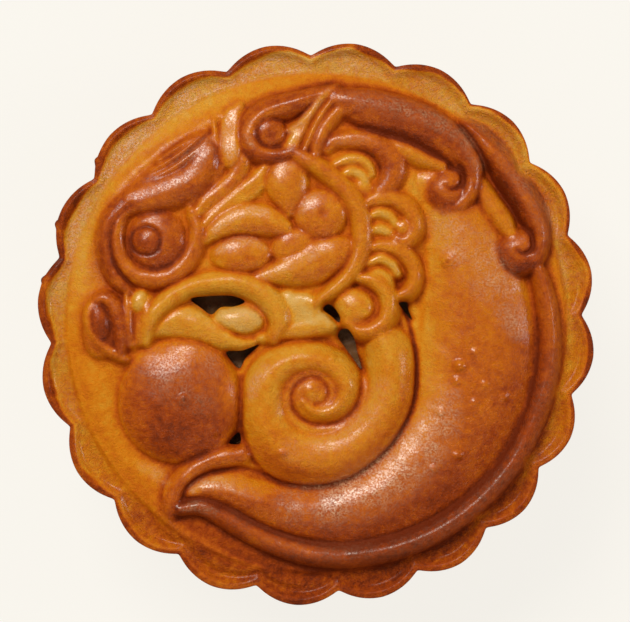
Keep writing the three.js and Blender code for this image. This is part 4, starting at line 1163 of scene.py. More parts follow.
def case_tree(defaults):
    """Bends the lattice into the case. Its points carry where they go as attributes."""
    tree = bpy.data.node_groups.new("Fluted case", "GeometryNodeTree")
    new_input(tree, "Geometry", "NodeSocketGeometry")
    for name in CASE_INPUTS:
        new_input(tree, label(name), "NodeSocketFloat", defaults[name])
    new_input(tree, "Material", "NodeSocketMaterial")
    tree.interface.new_socket("Geometry", in_out="OUTPUT", socket_type="NodeSocketGeometry")
    n = Nodes(tree)
    given = group_values(n)
    size = {name: given[label(name)] for name in CASE_INPUTS}
    angle, ring, wall, wall_level, inset = (
        n.add("GeometryNodeInputNamedAttribute", {"Name": name}, data_type="FLOAT")
        for name in LATTICE_VALUES)

    outline, fullness = petal_outline(n, size, angle)
    follow = n.smooth_step(ring, ROUND_RINGS_TO, 1.0)
    on_top = ring * n.mix(follow, ROUND_RING_RADIUS, outline)
    radius = n.mix(wall, on_top, (outline - inset) * ring)
    inside = outline - on_top

    plain = size["top_level"] + size["top_crown"] * (1.0 - (on_top / outline) ** 2.0)
    thick = n.math("COSINE", angle - size["thick_side"]) * 0.3 + 0.7
    rim = size["rim_rise"] * thick * (fullness * 0.7 + 0.3)
    rim = rim * hump(n, inside, size["rim_middle"], size["rim_half_width"])
    roll = size["roll_rise"] * hump(n, on_top, size["roll_middle"], size["roll_half_width"])
    past_ring = n.smooth_step(on_top, size["ring_edge"] - RING_STEP, size["ring_edge"] + RING_STEP)
    past_rim = n.smooth_step(inside, size["dish_edge"] * 0.3, size["dish_edge"])
    dish = (size["dish_depth"] * fullness + size["ring_drop"]) * (past_ring * past_rim)
    level = n.mix(wall, plain + rim + roll - dish, wall_level)

    x = size["centre_x"] + radius * n.math("COSINE", angle)
    y = size["centre_y"] + radius * n.math("SINE", angle)
    place = n.add("ShaderNodeCombineXYZ", {0: x, 1: y, 2: level})
    moved = n.add("GeometryNodeSetPosition", {"Geometry": given["Geometry"], "Position": place})
    whole = n.add("GeometryNodeRealizeInstances", {"Geometry": moved})
    covered = n.add("GeometryNodeSetMaterial", {"Geometry": whole, "Material": given["Material"]})
    n.new("NodeGroupOutput", {0: covered})
    return tree


def square_angle(u, v, ring):
    """Angle of a lattice point, spread evenly along the sides of its square ring."""
    safe = np.where(ring == 0, 1, ring)
    quarter = pi / 4
    return np.select(
        [u == ring, v == ring, u == -ring],
        [quarter * v / safe, quarter * (2 - u / safe), quarter * (4 - v / safe)],
        quarter * (6 + u / safe))


def lattice_mesh():
    """A closed lattice: a square top, rings for the wall and the base. The tree bends it."""
    side = LATTICE_STEPS + 1
    line = np.arange(side) * 2 / LATTICE_STEPS - 1
    u, v = (values.ravel() for values in np.meshgrid(line, line))
    ring = np.maximum(abs(u), abs(v))
    angle = square_angle(u, v, ring)
    index = np.arange(side * side).reshape(side, side)
    corners = [index[:-1, :-1], index[:-1, 1:], index[1:, 1:], index[1:, :-1]]
    faces = [np.stack([corner.ravel() for corner in corners], 1)]
    edge = np.concatenate([index[0, :-1], index[:-1, -1], index[-1, :0:-1], index[:0:-1, 0]])

    count = len(u)
    zero = np.zeros(count)
    columns = dict(zip(LATTICE_VALUES, ([angle], [ring], [zero], [zero], [zero])))
    rings = [(1.0, height, inset) for height, inset in WALL]
    rings += [(share, 0.0, WALL[-1][1]) for share in BASE_RINGS]
    around = len(edge)
    above = edge
    for share, height, inset in rings:
        below = count + np.arange(around)
        faces.append(np.stack([above, below, np.roll(below, -1), np.roll(above, -1)], 1))
        values = (angle[edge], share, 1.0, height * MM, inset * MM)
        for name, value in zip(LATTICE_VALUES, values):
            columns[name].append(np.broadcast_to(value, around))
        above, count = below, count + around
    for name in LATTICE_VALUES:
        columns[name].append(np.array([1.0 if name == "wall" else 0.0]))
    faces = np.concatenate(faces).tolist()
    faces += np.stack([above, np.full(around, count), np.roll(above, -1)], 1).tolist()

    mesh = bpy.data.meshes.new("case_lattice")
    mesh.from_pydata(np.zeros((count + 1, 3)).tolist(), [], faces)
    for name, parts in columns.items():
        write_attribute(mesh, name, np.concatenate(parts))
    return mesh


def set_inputs(modifier, values):
    """Sets a modifier's inputs by the identifiers of their sockets."""
    for item in modifier.node_group.interface.items_tree:
        if item.in_out == "INPUT" and item.name in values:
            modifier[item.identifier] = values[item.name]


def new_object(name, mesh):
    piece = bpy.data.objects.new(name, mesh)
    bpy.context.scene.collection.objects.link(piece)
    return piece


def flatten(piece, name):
    """Makes a plain mesh of an object with its modifiers, and takes them off."""
    graph = bpy.context.evaluated_depsgraph_get()
    mesh = bpy.data.meshes.new_from_object(piece.evaluated_get(graph))
    mesh.name = name
    piece.modifiers.clear()
    old, piece.data = piece.data, mesh
    bpy.data.meshes.remove(old)


def read_points(mesh):
    values = np.empty(len(mesh.vertices) * 3)
    mesh.vertices.foreach_get("co", values)
    return values.reshape(-1, 3)


def write_points(mesh, points):
    mesh.vertices.foreach_set("co", points.ravel())
    mesh.update()


def read_attribute(mesh, name):
    values = np.empty(len(mesh.vertices))
    mesh.attributes[name].data.foreach_get("value", values)
    return values


def write_attribute(mesh, name, values):
    mesh.attributes.new(name, "FLOAT", "POINT").data.foreach_set("value", values)


def fluted_case(case, material):
    """The case without its figure, and the outline of its rim as angles and radii."""
    piece = new_object("mooncake_crust", lattice_mesh())
    values = {name: float(getattr(case, name)) for name in CASE_INPUTS}
    modifier = piece.modifiers.new("Fluted case", "NODES")
    modifier.node_group = case_tree(values)
    named = {label(name): value for name, value in values.items()}
    set_inputs(modifier, named | {"Material": material})
    flatten(piece, "mooncake_crust")
    mesh = piece.data
    rim = (read_attribute(mesh, "wall") == 0) & (read_attribute(mesh, "ring") > 1 - 1e-6)
    centre = (case.centre_x, case.centre_y)
    x, y = (read_points(mesh)[rim, :2] - centre).T
    angle = np.arctan2(y, x)
    order = np.argsort(angle)
    outline = {"angle": angle[order], "radius": np.hypot(x, y)[order], "centre": centre}
    return piece, outline


def distance_inside(outline, points):
    """How far points lie inside the petal outline, and how full the petal is there."""
    x, y = (points[:, :2] - outline["centre"]).T
    radius = np.interp(np.arctan2(y, x), outline["angle"], outline["radius"], period=2 * pi)
    low, high = outline["radius"].min(), outline["radius"].max()
    return (radius - np.hypot(x, y)) / MM, (radius - low) / (high - low)


# ---------------------------------------------------------------- crust

def ease(low, high, values):
    """0 below low, 1 above high, and a smooth step between."""
    t = np.clip((values - low) / (high - low), 0, 1)
    return t * t * (3 - 2 * t)


def bell(values, middle, width):
    """1 at the middle, falling away on both sides."""
    return np.exp(-((values - middle) / width) ** 2)


def crumb_share(points, crumb):
    """1 in the middle of a crumb that burnt onto the rim, and 0 away from it."""
    away = points - [*crumb, CRUMB_LEVEL]
    return np.exp(-(away ** 2).sum(1) / CRUMB_SIZE ** 2)


def raise_figure(piece, outline, relief):
    """Lifts the top of the case into the figure, and bumps the rim where crumbs burnt onto it."""
    mesh = piece.data
    points = read_points(mesh)
    top = read_attribute(mesh, "wall") == 0
    x, y = points[top, 0] / MM, points[top, 1] / MM
    inside, _ = distance_inside(outline, points[top])
    points[top, 2] += relief.sample(relief.height, x, y) * ease(*FIGURE_EDGE, inside) * MM
    for crumb in RIM_CRUMBS:
        bump = crumb_share(points / MM, crumb)[:, None] * [*crumb, 0.0]
        points += CRUMB_RISE * MM * bump / np.hypot(*crumb)
    write_points(mesh, points)


def finished_mesh(name, shape):
    """A plain mesh of a shape that was put together face by face."""
    mesh = bpy.data.meshes.new(name)
    shape.to_mesh(mesh)
    shape.free()
    return mesh


def disc_mesh(name, disc, segments=96, top_rings=0):
    """A disc with rounded corners, turned round the middle of the cake, and rings on its top."""
    corner, flat = disc["round"], disc["radius"] - disc["round"]
    profile = [(0.0, disc["floor"])]
    for middle, start in ((disc["floor"] + corner, -90), (disc["ceiling"] - corner, 0)):
        for k in range(CORNER_STEPS + 1):
            angle = radians(start + 90 * k / CORNER_STEPS)
            profile.append((flat + corner * cos(angle), middle + corner * sin(angle)))
    shares = [1 - (k + 1) / (top_rings + 1) for k in range(top_rings)]
    profile += [(flat * share, disc["ceiling"]) for share in shares + [0.0]]

    shape = bmesh.new()
    turns = [2 * pi * k / segments for k in range(segments)]
    rings = []
    for across, height in profile:
        if across == 0:
            rings.append([shape.verts.new((0, 0, height * MM))] * segments)
            continue
        places = [(across * cos(turn) * MM, across * sin(turn) * MM, height * MM) for turn in turns]
        rings.append([shape.verts.new(place) for place in places])
    for low, high in zip(rings, rings[1:]):
        for k in range(segments):
            after = (k + 1) % segments
            corners = [low[k], low[after], high[after], high[k]]
            shape.faces.new(list(dict.fromkeys(corners)))
    return finished_mesh(name, shape)


def roughen_paste(mesh, ceiling):
    """Presses uneven lumps into the top of the filling, and none above its ceiling."""
    grid = Relief()
    uneven = sum(share * lumps(grid, size, seed) for share, size, seed in PASTE_LUMPS)
    points = read_points(mesh)
    mean, spread, most = PASTE_PRESS
    uneven = grid.sample(uneven, points[:, 0] / MM, points[:, 1] / MM)
    press = np.clip(mean + spread * uneven, 0, most)
    points[:, 2] -= press * MM * ease(ceiling - 1, ceiling, points[:, 2] / MM)
    write_points(mesh, points)


def gap_mesh(name, outline):
    """A prism over the outline of an open fold."""
    ring = closed_line(outline)
    after = np.roll(ring, -1, 0)
    if np.sum(ring[:, 0] * after[:, 1] - after[:, 0] * ring[:, 1]) < 0:
        ring = ring[::-1]
    shape = bmesh.new()
    low, high = (
        [shape.verts.new((x * MM, y * MM, level * MM)) for x, y in ring]
        for level in (GAP_CUT_FLOOR, GAP_CUT_TOP))
    shape.faces.new(low[::-1])
    shape.faces.new(high)
    for k in range(len(low)):
        after = (k + 1) % len(low)
        shape.faces.new([low[k], low[after], high[after], high[k]])
    bmesh.ops.triangulate(shape, faces=shape.faces[:])
    return finished_mesh(name, shape)


def cut_open(piece):
    """Cuts the hollow for the filling, and the open folds down to it."""
    cutters = [disc_mesh("hollow", CAVITY)]
    cutters += [gap_mesh(f"open_fold_{k}", outline) for k, outline in enumerate(OPEN_FOLDS)]
    helpers = [new_object(mesh.name, mesh) for mesh in cutters]
    for helper in helpers:
        cut = piece.modifiers.new(helper.name, "BOOLEAN")
        cut.operation = "DIFFERENCE"
        cut.solver = "MANIFOLD"
        cut.object = helper
    flatten(piece, "mooncake_crust")
    for helper in helpers:
        mesh = helper.data
        bpy.data.objects.remove(helper)
        bpy.data.meshes.remove(mesh)


def thin_out(piece, triangles):
    """Takes triangles away where the surface is plain."""
    piece.data.calc_loop_triangles()
    thin = piece.modifiers.new("Thin out", "DECIMATE")
    thin.ratio = triangles / len(piece.data.loop_triangles)
    thin.use_collapse_triangulate = True
    flatten(piece, "mooncake_crust")


class Places:
    """Where the crust's points lie, in millimetres, and the shares that its looks follow there."""

    def __init__(self, mesh, outline, relief):
        points = read_points(mesh)
        self.relief = relief
        self.points = points / MM
        self.x, self.y, self.z = self.points.T
        self.inside, self.fullness = distance_inside(outline, points)
        self.angle, self.radius = np.arctan2(self.y, self.x), np.hypot(self.x, self.y)
        self.shade = 0.5 - 0.5 * self.towards(LIT_SIDE)
        self.pale_side = bell(np.degrees(self.angle), PALE_SIDE, PALE_SPREAD)
        self.dark_petals = 0.5 + 0.5 * self.towards(DARK_PETALS)
        self.patches = self.read(relief.patches)
        self.on_petal = ease(*PETALS_FROM, self.radius)
        self.band = self.burnt_band()
        self.edge = 1 - ease(self.band - 0.12, self.band + 0.12, self.inside)
        self.dish = self.on_petal * ease(self.band + 0.1, self.band + 0.7, self.inside)
        near_outline = (self.inside < WALL_INSIDE) | (self.z < WALL_FOOT)
        self.on_wall = (1 - ease(*WALL_TO, self.z)) * near_outline
        lift = self.read(relief.height)
        self.plain_ring = (1 - self.on_petal) * (1 - ease(*FIGURE_LIFT, lift))

    def read(self, values):
        return self.relief.sample(values, self.x, self.y)

    def towards(self, bearing):
        """1 on a bearing in degrees, 0 square to it and -1 opposite."""
        return np.cos(self.angle - radians(bearing))

    def burnt_band(self):
        """Width of the burnt band along the petals' edges."""
        band = 0.65 + np.clip(self.towards(WIDE_BAND), -0.3, 1) + 0.25 * self.patches
        band += 0.5 * np.clip(self.towards(SECOND_BAND), 0, 1)
        return np.maximum(band, 0.25) * (0.4 + 0.6 * self.fullness)


def top_brown(at):
    """Browning of the top: the plain ring, the petals with their burnt edges, and the figure, with
    painted shade and a painted highlight line.
    """
    # The ring and the petals darken towards the bottom: partly browning, partly painted shade on
    # the side away from the light.
    south = 0.5 - 0.5 * np.sin(at.angle)
    ring = PLAIN_BROWN - 0.04 + 0.25 * south ** 2 - 0.07 * at.pale_side
    # Painted shade: a darker line in the groove at the ring's foot, strongest on the side away from
    # the light.
    ring += (0.03 + 0.13 * at.shade ** 2) * bell(at.radius, RING_SHADE_LINE, 0.45)
    petal = PETAL_BROWN + 0.5 * at.dark_petals ** 4 + 0.05 * at.patches
    petal += 0.18 * np.clip(at.towards(BROWN_PETALS), 0, 1) ** 2 * ease(35, 36.5, at.radius)
    # Painted highlight: a paler line just inside the burnt band, brightest towards the light.
    painted_highlight_line = bell(at.inside - at.band, 0.28, 0.14) * (0.4 + 0.6 * at.towards(HIGHLIGHT_LINE_SIDE))
    brown = ring + (petal - ring) * at.on_petal - 0.16 * painted_highlight_line
    brown += (RIM_BROWN + 0.07 * at.patches - brown) * at.edge
    for crumb in RIM_CRUMBS:
        brown += CRUMB_BROWN * crumb_share(at.points, crumb)
    # The figure's tones carry painted shade in its creases and painted light on some of its slopes.
    figure_brown = at.read(at.relief.brown) - PLAIN_BROWN
    return brown + figure_brown * ease(*FIGURE_BROWN_EDGE, at.inside)


def whole_brown(at, facing_up):
    """Browning of the whole crust: its top, with its painted shade and highlights, its wall and its
    base.
    """
    wall = 0.44 + 0.5 * ease(21, 27.3, at.z) + 0.4 * (1 - ease(0.6, 7, at.z))
    base = 0.72 + 0.16 * ease(20, 34, at.radius)
    on_base = (at.z < 0.05) | ((facing_up < -0.7) & (at.z < BASE_TO))
    return np.where(on_base, base, top_brown(at) * (1 - at.on_wall) + wall * at.on_wall)


def moisture(at):
    """1 for dough that the paste has soaked, in the open folds and round the filling."""
    near_fold = (at.radius < SOAKED_RADIUS) & (at.z > SOAKED_FROM)
    low, high = HOLLOW_HEIGHTS
    in_hollow = (at.inside > HOLLOW_INSIDE) & (at.z > low) & (at.z < high)
    return np.maximum(np.where(near_fold, 1 - ease(*SOAKED_TO, at.z), 0), in_hollow)


def wash_gloss(at):
    """How the egg wash shines: on the figure, but little on wall, ring and burnt edges."""
    gloss = at.read(at.relief.gloss) * (1 - 0.9 * at.on_wall) * (1 - at.plain_ring)
    gloss *= 1 - 0.8 * at.edge
    gloss *= 1 - bell(at.radius, RING_FOOT, 0.9)
    return gloss * ((1 - 0.75 * at.on_petal * at.shade) * (at.z > WALL_FOOT))


def glaze_and_painted_sheen(at):
    """How thick dried glaze lies in the petals, on the figure and on the ring's pale side: laid
    thickest towards the light, it is painted sheen as well as glaze.
    """
    sheen_side = np.clip(at.towards(SHEEN_SIDE), 0, 1) ** 4
    glaze = at.dish * (0.3 * (1 - at.dark_petals) + 1.4 * sheen_side)
    glaze = np.maximum(glaze, at.read(at.relief.dust_and_sheen))
    return np.maximum(glaze, 0.35 * at.pale_side * at.plain_ring) * (1 - at.on_wall)


def brown_crust(piece, outline, relief):
    """Stores how brown (with painted shade and highlights), grainy, moist and glossy each point is,
    and how thick dry glaze and painted sheen lie.
    """
    mesh = piece.data
    normals = np.empty(len(mesh.vertices) * 3)
    mesh.vertices.foreach_get("normal", normals)
    at = Places(mesh, outline, relief)
    looks = {
        "bake_and_painted_light": whole_brown(at, normals[2::3]),
        "grain": np.clip(0.35 + 0.6 * at.dish + 0.3 * at.edge + 0.5 * at.on_wall, 0, 1),
        "moist": moisture(at),
        "gloss": wash_gloss(at),
        "glaze_and_sheen": glaze_and_painted_sheen(at),
    }
    for name, values in looks.items():
        write_attribute(mesh, name, np.clip(values, 0, MOST_LOOK).astype(np.float32))


# ---------------------------------------------------------------- materials

def oven_grain():
    """Fine grain of a baked or pressed surface: a height for bumps and a mottled value."""
    tree = bpy.data.node_groups.get("Oven grain")
    if tree:
        return tree
    tree = bpy.data.node_groups.new("Oven grain", "ShaderNodeTree")
    for name, value in (("Grain Size", 0.0004), ("Blotch Size", 0.004), ("Roughening", 0.5)):
        new_input(tree, name, "NodeSocketFloat", value)
    for name in ("Height", "Mottle"):
        tree.interface.new_socket(name, in_out="OUTPUT", socket_type="NodeSocketFloat")
    n = Nodes(tree)
    given = group_values(n)
    place = n.add("ShaderNodeTexCoord", output="Object")
    noises = ((given["Grain Size"], 3.0, given["Roughening"]), (given["Blotch Size"], 4.0, 0.6))
    fine, wide = (
        n.add("ShaderNodeTexNoise",
              {"Vector": place, "Scale": 1.0 / size, "Detail": detail, "Roughness": roughness})
        for size, detail, roughness in noises)
    n.new("NodeGroupOutput", {"Height": fine, "Mottle": wide * 0.65 + fine * 0.35})
    return tree


def grain(n, grain_size, blotch_size, roughening):
    """Height and mottle of the oven grain at the given sizes in metres."""
    inputs = {"Grain Size": grain_size, "Blotch Size": blotch_size, "Roughening": roughening}
    node = n.new("ShaderNodeGroup", inputs, node_tree=oven_grain())
    return Value(n, node.outputs["Height"]), Value(n, node.outputs["Mottle"])


def new_material(name):
    material = bpy.data.materials.new(name)
    material.use_nodes = True
    material.node_tree.nodes.clear()
    n = Nodes(material.node_tree)
    shader = n.new("ShaderNodeBsdfPrincipled")
    n.new("ShaderNodeOutputMaterial", {0: Value(n, shader.outputs[0])})
    return material, n, shader


def linear(colour):
    """Linear values of a colour given as it looks on a screen."""
    return [c / 12.92 if c <= 0.04045 else ((c + 0.055) / 1.055) ** 2.4 for c in colour[:3]] + [1.0]


def colour_ramp(n, tone, colours):
    """Colours spread evenly over tones from 0 to 1."""
    ramp = n.new("ShaderNodeValToRGB", {0: tone})
    stops = ramp.color_ramp.elements
    while len(stops) < len(colours):
        stops.new(0.5)
    for k, colour in enumerate(colours):
        stops[k].position = k / (len(colours) - 1)
        stops[k].color = linear(colour)
    return Value(n, ramp.outputs[0])


def bump(n, height):
    """Normals of a surface with a height in metres."""
    return n.add("ShaderNodeBump", {"Height": height, "Strength": 1.0, "Distance": 1.0})


def crust_material(looks):
    """Dough with egg wash. Browning with painted shade and highlights, grain, gloss, and dry glaze
    with painted sheen follow the crust's attributes.
    """
    material, n, shader = new_material("baked_dough")
    bake_and_painted_light, rough_grain, moist, gloss, glaze_and_sheen = (
        n.add("ShaderNodeAttribute", output="Fac", attribute_name=name)
        for name in ("bake_and_painted_light", "grain", "moist", "gloss", "glaze_and_sheen"))
    broad_height, broad_mottle = grain(n, 0.0013, 0.005, 0.6)
    fine_height, fine_mottle = grain(n, 0.0003, 0.0009, 0.75)

    uneven = (broad_mottle - 0.5) * looks.mottle
    speckled = (fine_mottle - 0.5) * looks.speckle * (0.4 + rough_grain)
    colours = [looks.pale, looks.cream, looks.golden, looks.orange, looks.brown, looks.dark]
    colour = colour_ramp(n, bake_and_painted_light + uneven + speckled, colours)
    # Pale glaze grains mixed into the colour: glaze, and painted sheen where the light shines.
    grains = n.spread(fine_height, 0.41, 0.62, 0.05, 1.0)
    drifts = n.spread(broad_mottle, 0.4, 0.58, 0.1, 1.0)
    dust_and_sheen_share = grains * drifts * (glaze_and_sheen * looks.dust_and_sheen)
    colour = n.colour_mix(dust_and_sheen_share, colour, linear(looks.glaze))
    colour = n.colour_mix(moist, colour, linear(looks.soaked))
    sparkle = n.spread(fine_height, 0.46, 0.6, 0.2, 1.0)
    film = n.spread(broad_mottle, 0.4, 0.6, 0.6, 1.0)
    height = broad_height * 0.00014 + fine_height * 0.00028 * (0.6 + rough_grain)
    n.fill(shader, {
        "Base Color": colour,
        "Roughness": (gloss * -0.22 + 0.5) + (fine_mottle - 0.5) * 0.4,
        "Specular IOR Level": 0.2,
        "Specular Tint": (1.0, 0.82, 0.6, 1.0),
        "Coat Weight": sparkle * film * gloss,
        "Coat Roughness": 0.26,
        "Coat IOR": 1.75,
        "Normal": bump(n, height),
    })
    return material


def filling_material(looks):
    """Dark moist bean paste."""
    material, n, shader = new_material("dark_paste")
    height, mottle = grain(n, 0.0003, 0.0016, 0.6)
    n.fill(shader, {
        "Base Color": n.colour_mix(mottle, linear(looks.paste_dark), linear(looks.paste_light)),
        "Roughness": 0.2 + mottle * 0.3,
        "Specular IOR Level": 0.3,
        "Normal": bump(n, height * 0.00012),
    })
    return material


def floor_material(looks):
    """A pale floor that glows, so that the shadow on it stays faint."""
    material, n, shader = new_material("pale_floor")
    _, mottle = grain(n, 0.002, 0.05, 0.5)
    low, high = (linear([c * share for c in looks.floor]) for share in (0.36, 0.365))
    n.fill(shader, {
        "Base Color": n.colour_mix(mottle, low, high),
        "Roughness": 0.9,
        "Specular IOR Level": 0.0,
        "Emission Color": linear(looks.floor),
        "Emission Strength": 0.935,
    })
    return material


# ---------------------------------------------------------------- settings

def number(name, description, value, **limits):
    return FloatProperty(name=name, description=description, default=value, **limits)


def length(name, description, value):
    return number(name, description, value, unit="LENGTH", precision=5)


def bearing(name, description, degrees):
    return number(name, description, radians(degrees), subtype="ANGLE")


def screen_colour(name, description, *values):
    """A colour given as it looks on a screen, from 0 to 255."""
    return FloatVectorProperty(name=name, description=description, subtype="COLOR_GAMMA", size=3,
                               default=[value / 255 for value in values], min=0, max=1)


class CaseSizes(bpy.types.PropertyGroup):
    """Sizes of the fluted case"""
    petals: IntProperty(name="Petals", description="Petals round the rim", default=20, min=6)
    petal_circle: length("Petal circle", "Radius of the circle of the arcs' centres", 0.0307)
    petal_radius: length("Petal radius", "Radius of a petal's arc", 0.0084)
    petal_turn: bearing("First notch", "Angle from the X axis to the first notch", 3)
    petal_drift: bearing("Drift", "How far the petals wander round the rim", 2.2)
    petal_drift_from: bearing("Drift from", "Where the petals wander most", 240)
    notch_softness: length("Notch softness", "Rounding in the notches between petals", 0.00025)
    ovality: length("Ovality", "How much wider the case is one way", 0.00025)
    oval_turn: bearing("Wider way", "Angle from the X axis to the wider way", 68)
    centre_x: length("Centre X", "Middle of the rim's circle", 0.00004)
    centre_y: length("Centre Y", "Middle of the rim's circle", 0.00014)
    top_level: length("Top level", "Height of the plain top", 0.0281)
    top_crown: length("Top crown", "Rise of the plain top to its middle", 0.0004)
    rim_rise: length("Rim rise", "Raised edge of each petal where it is thickest", 0.0005)
    rim_middle: length("Rim middle", "Distance of the raised edge from the outline", 0.00075)
    rim_half_width: length("Rim half width", "Half width of the raised edge", 0.00055)
    thick_side: bearing("Thick side", "Where the petals' raised edges are thickest", 150)
    dish_depth: length("Dish depth", "Hollow in the middle of each petal", 0.0005)
    dish_edge: length("Dish edge", "Distance of the hollow from the outline", 0.002)
    ring_edge: length("Ring edge", "Radius of the plain ring, where the petals begin", 0.0349)
    ring_drop: length("Ring drop", "How far the petals lie below the plain ring", 0.0003)
    roll_middle: length("Roll middle", "Radius of the swell along the plain ring", 0.0325)
    roll_half_width: length("Roll half width", "Half width of the swell", 0.0016)
    roll_rise: length("Roll rise", "Height of the swell", 0.00035)


class Looks(bpy.types.PropertyGroup):
    """Colours of dough, paste and floor"""
    pale: screen_colour("Pale dough", "Dough that hardly browned", 214, 166, 84)
    cream: screen_colour("Cream dough", "Dough that took a little colour", 214, 146, 34)
    golden: screen_colour("Golden dough", "Lightly baked dough", 209, 121, 7)
    orange: screen_colour("Orange dough", "Well baked dough", 193, 94, 5)
    brown: screen_colour("Brown dough", "Browned dough", 159, 62, 4)
    dark: screen_colour("Dark dough", "Darkest dough", 110, 36, 5)
    # This colour also serves as painted sheen, laid thickest where the light shines.
    glaze: screen_colour("Dry glaze", "Grains of dried egg glaze in the petals", 226, 176, 132)
    soaked: screen_colour("Soaked dough", "Dough inside an open fold", 96, 50, 18)
    paste_dark: screen_colour("Paste, dark", "Dark part of the filling", 106, 70, 40)
    paste_light: screen_colour("Paste, light", "Light part of the filling", 150, 104, 64)
    floor: screen_colour("Floor", "Plain floor", 244, 241, 234)
    # How thick glaze grains lie, and with them the painted sheen.
    dust_and_sheen: number("Dust", "How thick the grains of dry glaze lie", 0.9)
    mottle: number("Mottle", "Uneven browning in patches", 0.65)
    speckle: number("Speckle", "Uneven browning in fine grains", 0.9)


class StageSizes(bpy.types.PropertyGroup):
    """Sizes and lights of the stage"""
    lens: number("Lens", "Focal length in millimetres", 100)
    view_width: length("View width", "Width that the camera sees at the top of the cake", 0.08775)
    view_x: length("View X", "Middle of the view", -0.00012)
    view_y: length("View Y", "Middle of the view", 0.00188)
    key_power: number("Key light", "Power of the main light in watts", 5.3)
    side_power: number("Side light", "Power of the low side light in watts", 0.7)
    fill_power: number("Fill light", "Power of the soft light from the front in watts", 0.9)
    sky: number("Sky", "Strength of the even light from all round", 0.2)
    floor_half: length("Floor", "Half width of the floor", 3.0)
    floor_gap: length("Floor gap", "Gap under the cake, so that base and floor stay apart", 0.0002)


# ---------------------------------------------------------------- operators

def finish_piece(piece, node, material):
    """Gives a piece its material, smooth shading off its flat base, and its place in the frame."""
    piece.data.materials.clear()
    piece.data.materials.append(material)
    piece.data.shade_smooth()
    for face in piece.data.polygons:
        face.use_smooth = face.normal.z > -0.999
    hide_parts(node)
    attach(piece, "root")


class MOONCAKE_OT_crust(bpy.types.Operator):
    """Make the crust: fluted case, moulded figure and open folds"""
    bl_idname = "mooncake.crust"
    bl_label = "Crust"

    def execute(self, context):
        scene = context.scene
        material = crust_material(scene.mooncake_looks)
        piece, outline = fluted_case(scene.mooncake_case, material)
        relief = figure()
        raise_figure(piece, outline, relief)
        for name in LATTICE_VALUES:
            piece.data.attributes.remove(piece.data.attributes[name])
        cut_open(piece)
        thin_out(piece, CRUST_TRIANGLES)
        brown_crust(piece, outline, relief)
        finish_piece(piece, "crust", material)
        return {"FINISHED"}


class MOONCAKE_OT_filling(bpy.types.Operator):
    """Make the disc of dark paste inside the crust"""
    bl_idname = "mooncake.filling"
    bl_label = "Filling"

    def execute(self, context):
        disc = {name: size - FILLING_GAP for name, size in CAVITY.items()}
        disc["floor"] = CAVITY["floor"] + FILLING_GAP
        mesh = disc_mesh("mooncake_filling", disc, segments=240, top_rings=70)
        roughen_paste(mesh, disc["ceiling"])
        piece = new_object("mooncake_filling", mesh)
        finish_piece(piece, "filling", filling_material(context.scene.mooncake_looks))
        return {"FINISHED"}


def area_light(name, place, size, power, colour=(1, 1, 1), mirrored=True):
    """A rectangular light that looks at the middle of the top."""
    data = bpy.data.lights.new(name, "AREA")
    data.shape = "RECTANGLE"
    data.size, data.size_y = size
    data.energy = power
    data.color = colour
    lamp = new_object(name, data)
    lamp.location = place
    target = Vector((0.0, 0.0, CAD_BOUNDS[1][2]))
    lamp.rotation_euler = (target - Vector(place)).to_track_quat("-Z", "Y").to_euler()
    lamp.visible_glossy = mirrored


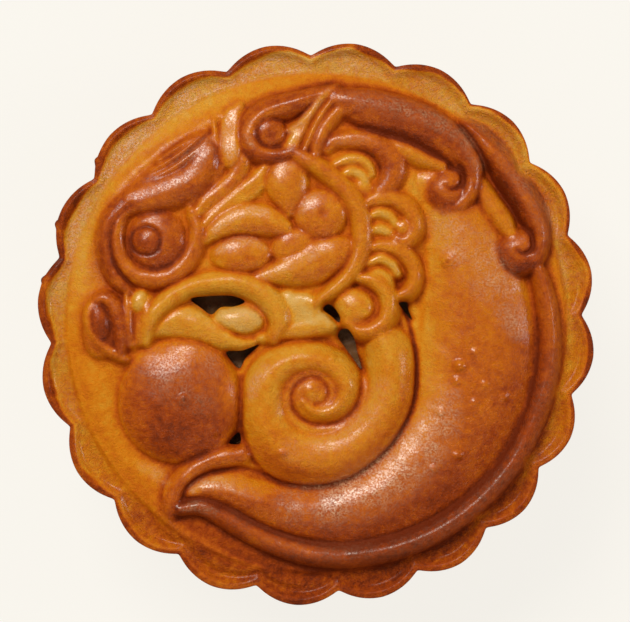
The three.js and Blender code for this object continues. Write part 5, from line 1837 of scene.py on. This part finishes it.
class MOONCAKE_OT_stage(bpy.types.Operator):
    """Make the floor, the lights and the camera"""
    bl_idname = "mooncake.stage"
    bl_label = "Stage"

    def execute(self, context):
        scene = context.scene
        stage = scene.mooncake_stage
        mesh = bpy.data.meshes.new("floor")
        corners = [(-1, -1), (1, -1), (1, 1), (-1, 1)]
        half, level = stage.floor_half, -stage.floor_gap
        mesh.from_pydata([(x * half, y * half, level) for x, y in corners], [], [(0, 1, 2, 3)])
        mesh.materials.append(floor_material(scene.mooncake_looks))
        floor = new_object("floor", mesh)
        floor.visible_glossy = False

        area_light("key_light", place=(-0.22, 0.39, 0.62), size=(0.42, 0.3),
                   power=stage.key_power, colour=(1.0, 0.95, 0.85))
        area_light("side_light", place=(0.55, 0.05, 0.26), size=(0.12, 0.2), power=stage.side_power)
        area_light("fill_light", place=(0.1, -0.4, 0.5), size=(0.6, 0.5),
                   power=stage.fill_power, mirrored=False)

        world = bpy.data.worlds.new("studio")
        world.use_nodes = True
        background = world.node_tree.nodes["Background"]
        background.inputs["Color"].default_value = (1.0, 0.96, 0.88, 1.0)
        background.inputs["Strength"].default_value = stage.sky
        scene.world = world
        world.cycles_visibility.glossy = False
        scene.view_settings.view_transform = "Standard"

        data = bpy.data.cameras.new("camera")
        data.lens = stage.lens
        camera = new_object("camera", data)
        distance = stage.view_width * data.lens / data.sensor_width
        camera.location = (stage.view_x, stage.view_y, scene.mooncake_case.top_level + distance)
        scene.camera = camera
        return {"FINISHED"}


class MOONCAKE_PT_panel(bpy.types.Panel):
    """Lists the pieces of the mooncake"""
    bl_label = "Mooncake"
    bl_idname = "MOONCAKE_PT_panel"
    bl_space_type = "VIEW_3D"
    bl_region_type = "UI"
    bl_category = "Mooncake"

    def draw(self, context):
        for step in STEPS:
            self.layout.operator(step.bl_idname)


STEPS = (MOONCAKE_OT_crust, MOONCAKE_OT_filling, MOONCAKE_OT_stage)
CLASSES = (CaseSizes, Looks, StageSizes, *STEPS, MOONCAKE_PT_panel)


def register():
    for item in CLASSES:
        bpy.utils.register_class(item)
    bpy.types.Scene.mooncake_case = PointerProperty(type=CaseSizes)
    bpy.types.Scene.mooncake_looks = PointerProperty(type=Looks)
    bpy.types.Scene.mooncake_stage = PointerProperty(type=StageSizes)


def unregister():
    del bpy.types.Scene.mooncake_case
    del bpy.types.Scene.mooncake_looks
    del bpy.types.Scene.mooncake_stage
    for item in reversed(CLASSES):
        bpy.utils.unregister_class(item)


def plain(bounds):
    return [[float(value) for value in corner] for corner in bounds]


def main():
    register()
    bpy.ops.mooncake.crust()
    bpy.ops.mooncake.filling()
    bpy.ops.mooncake.stage()


if __name__ == "__main__":
    main()
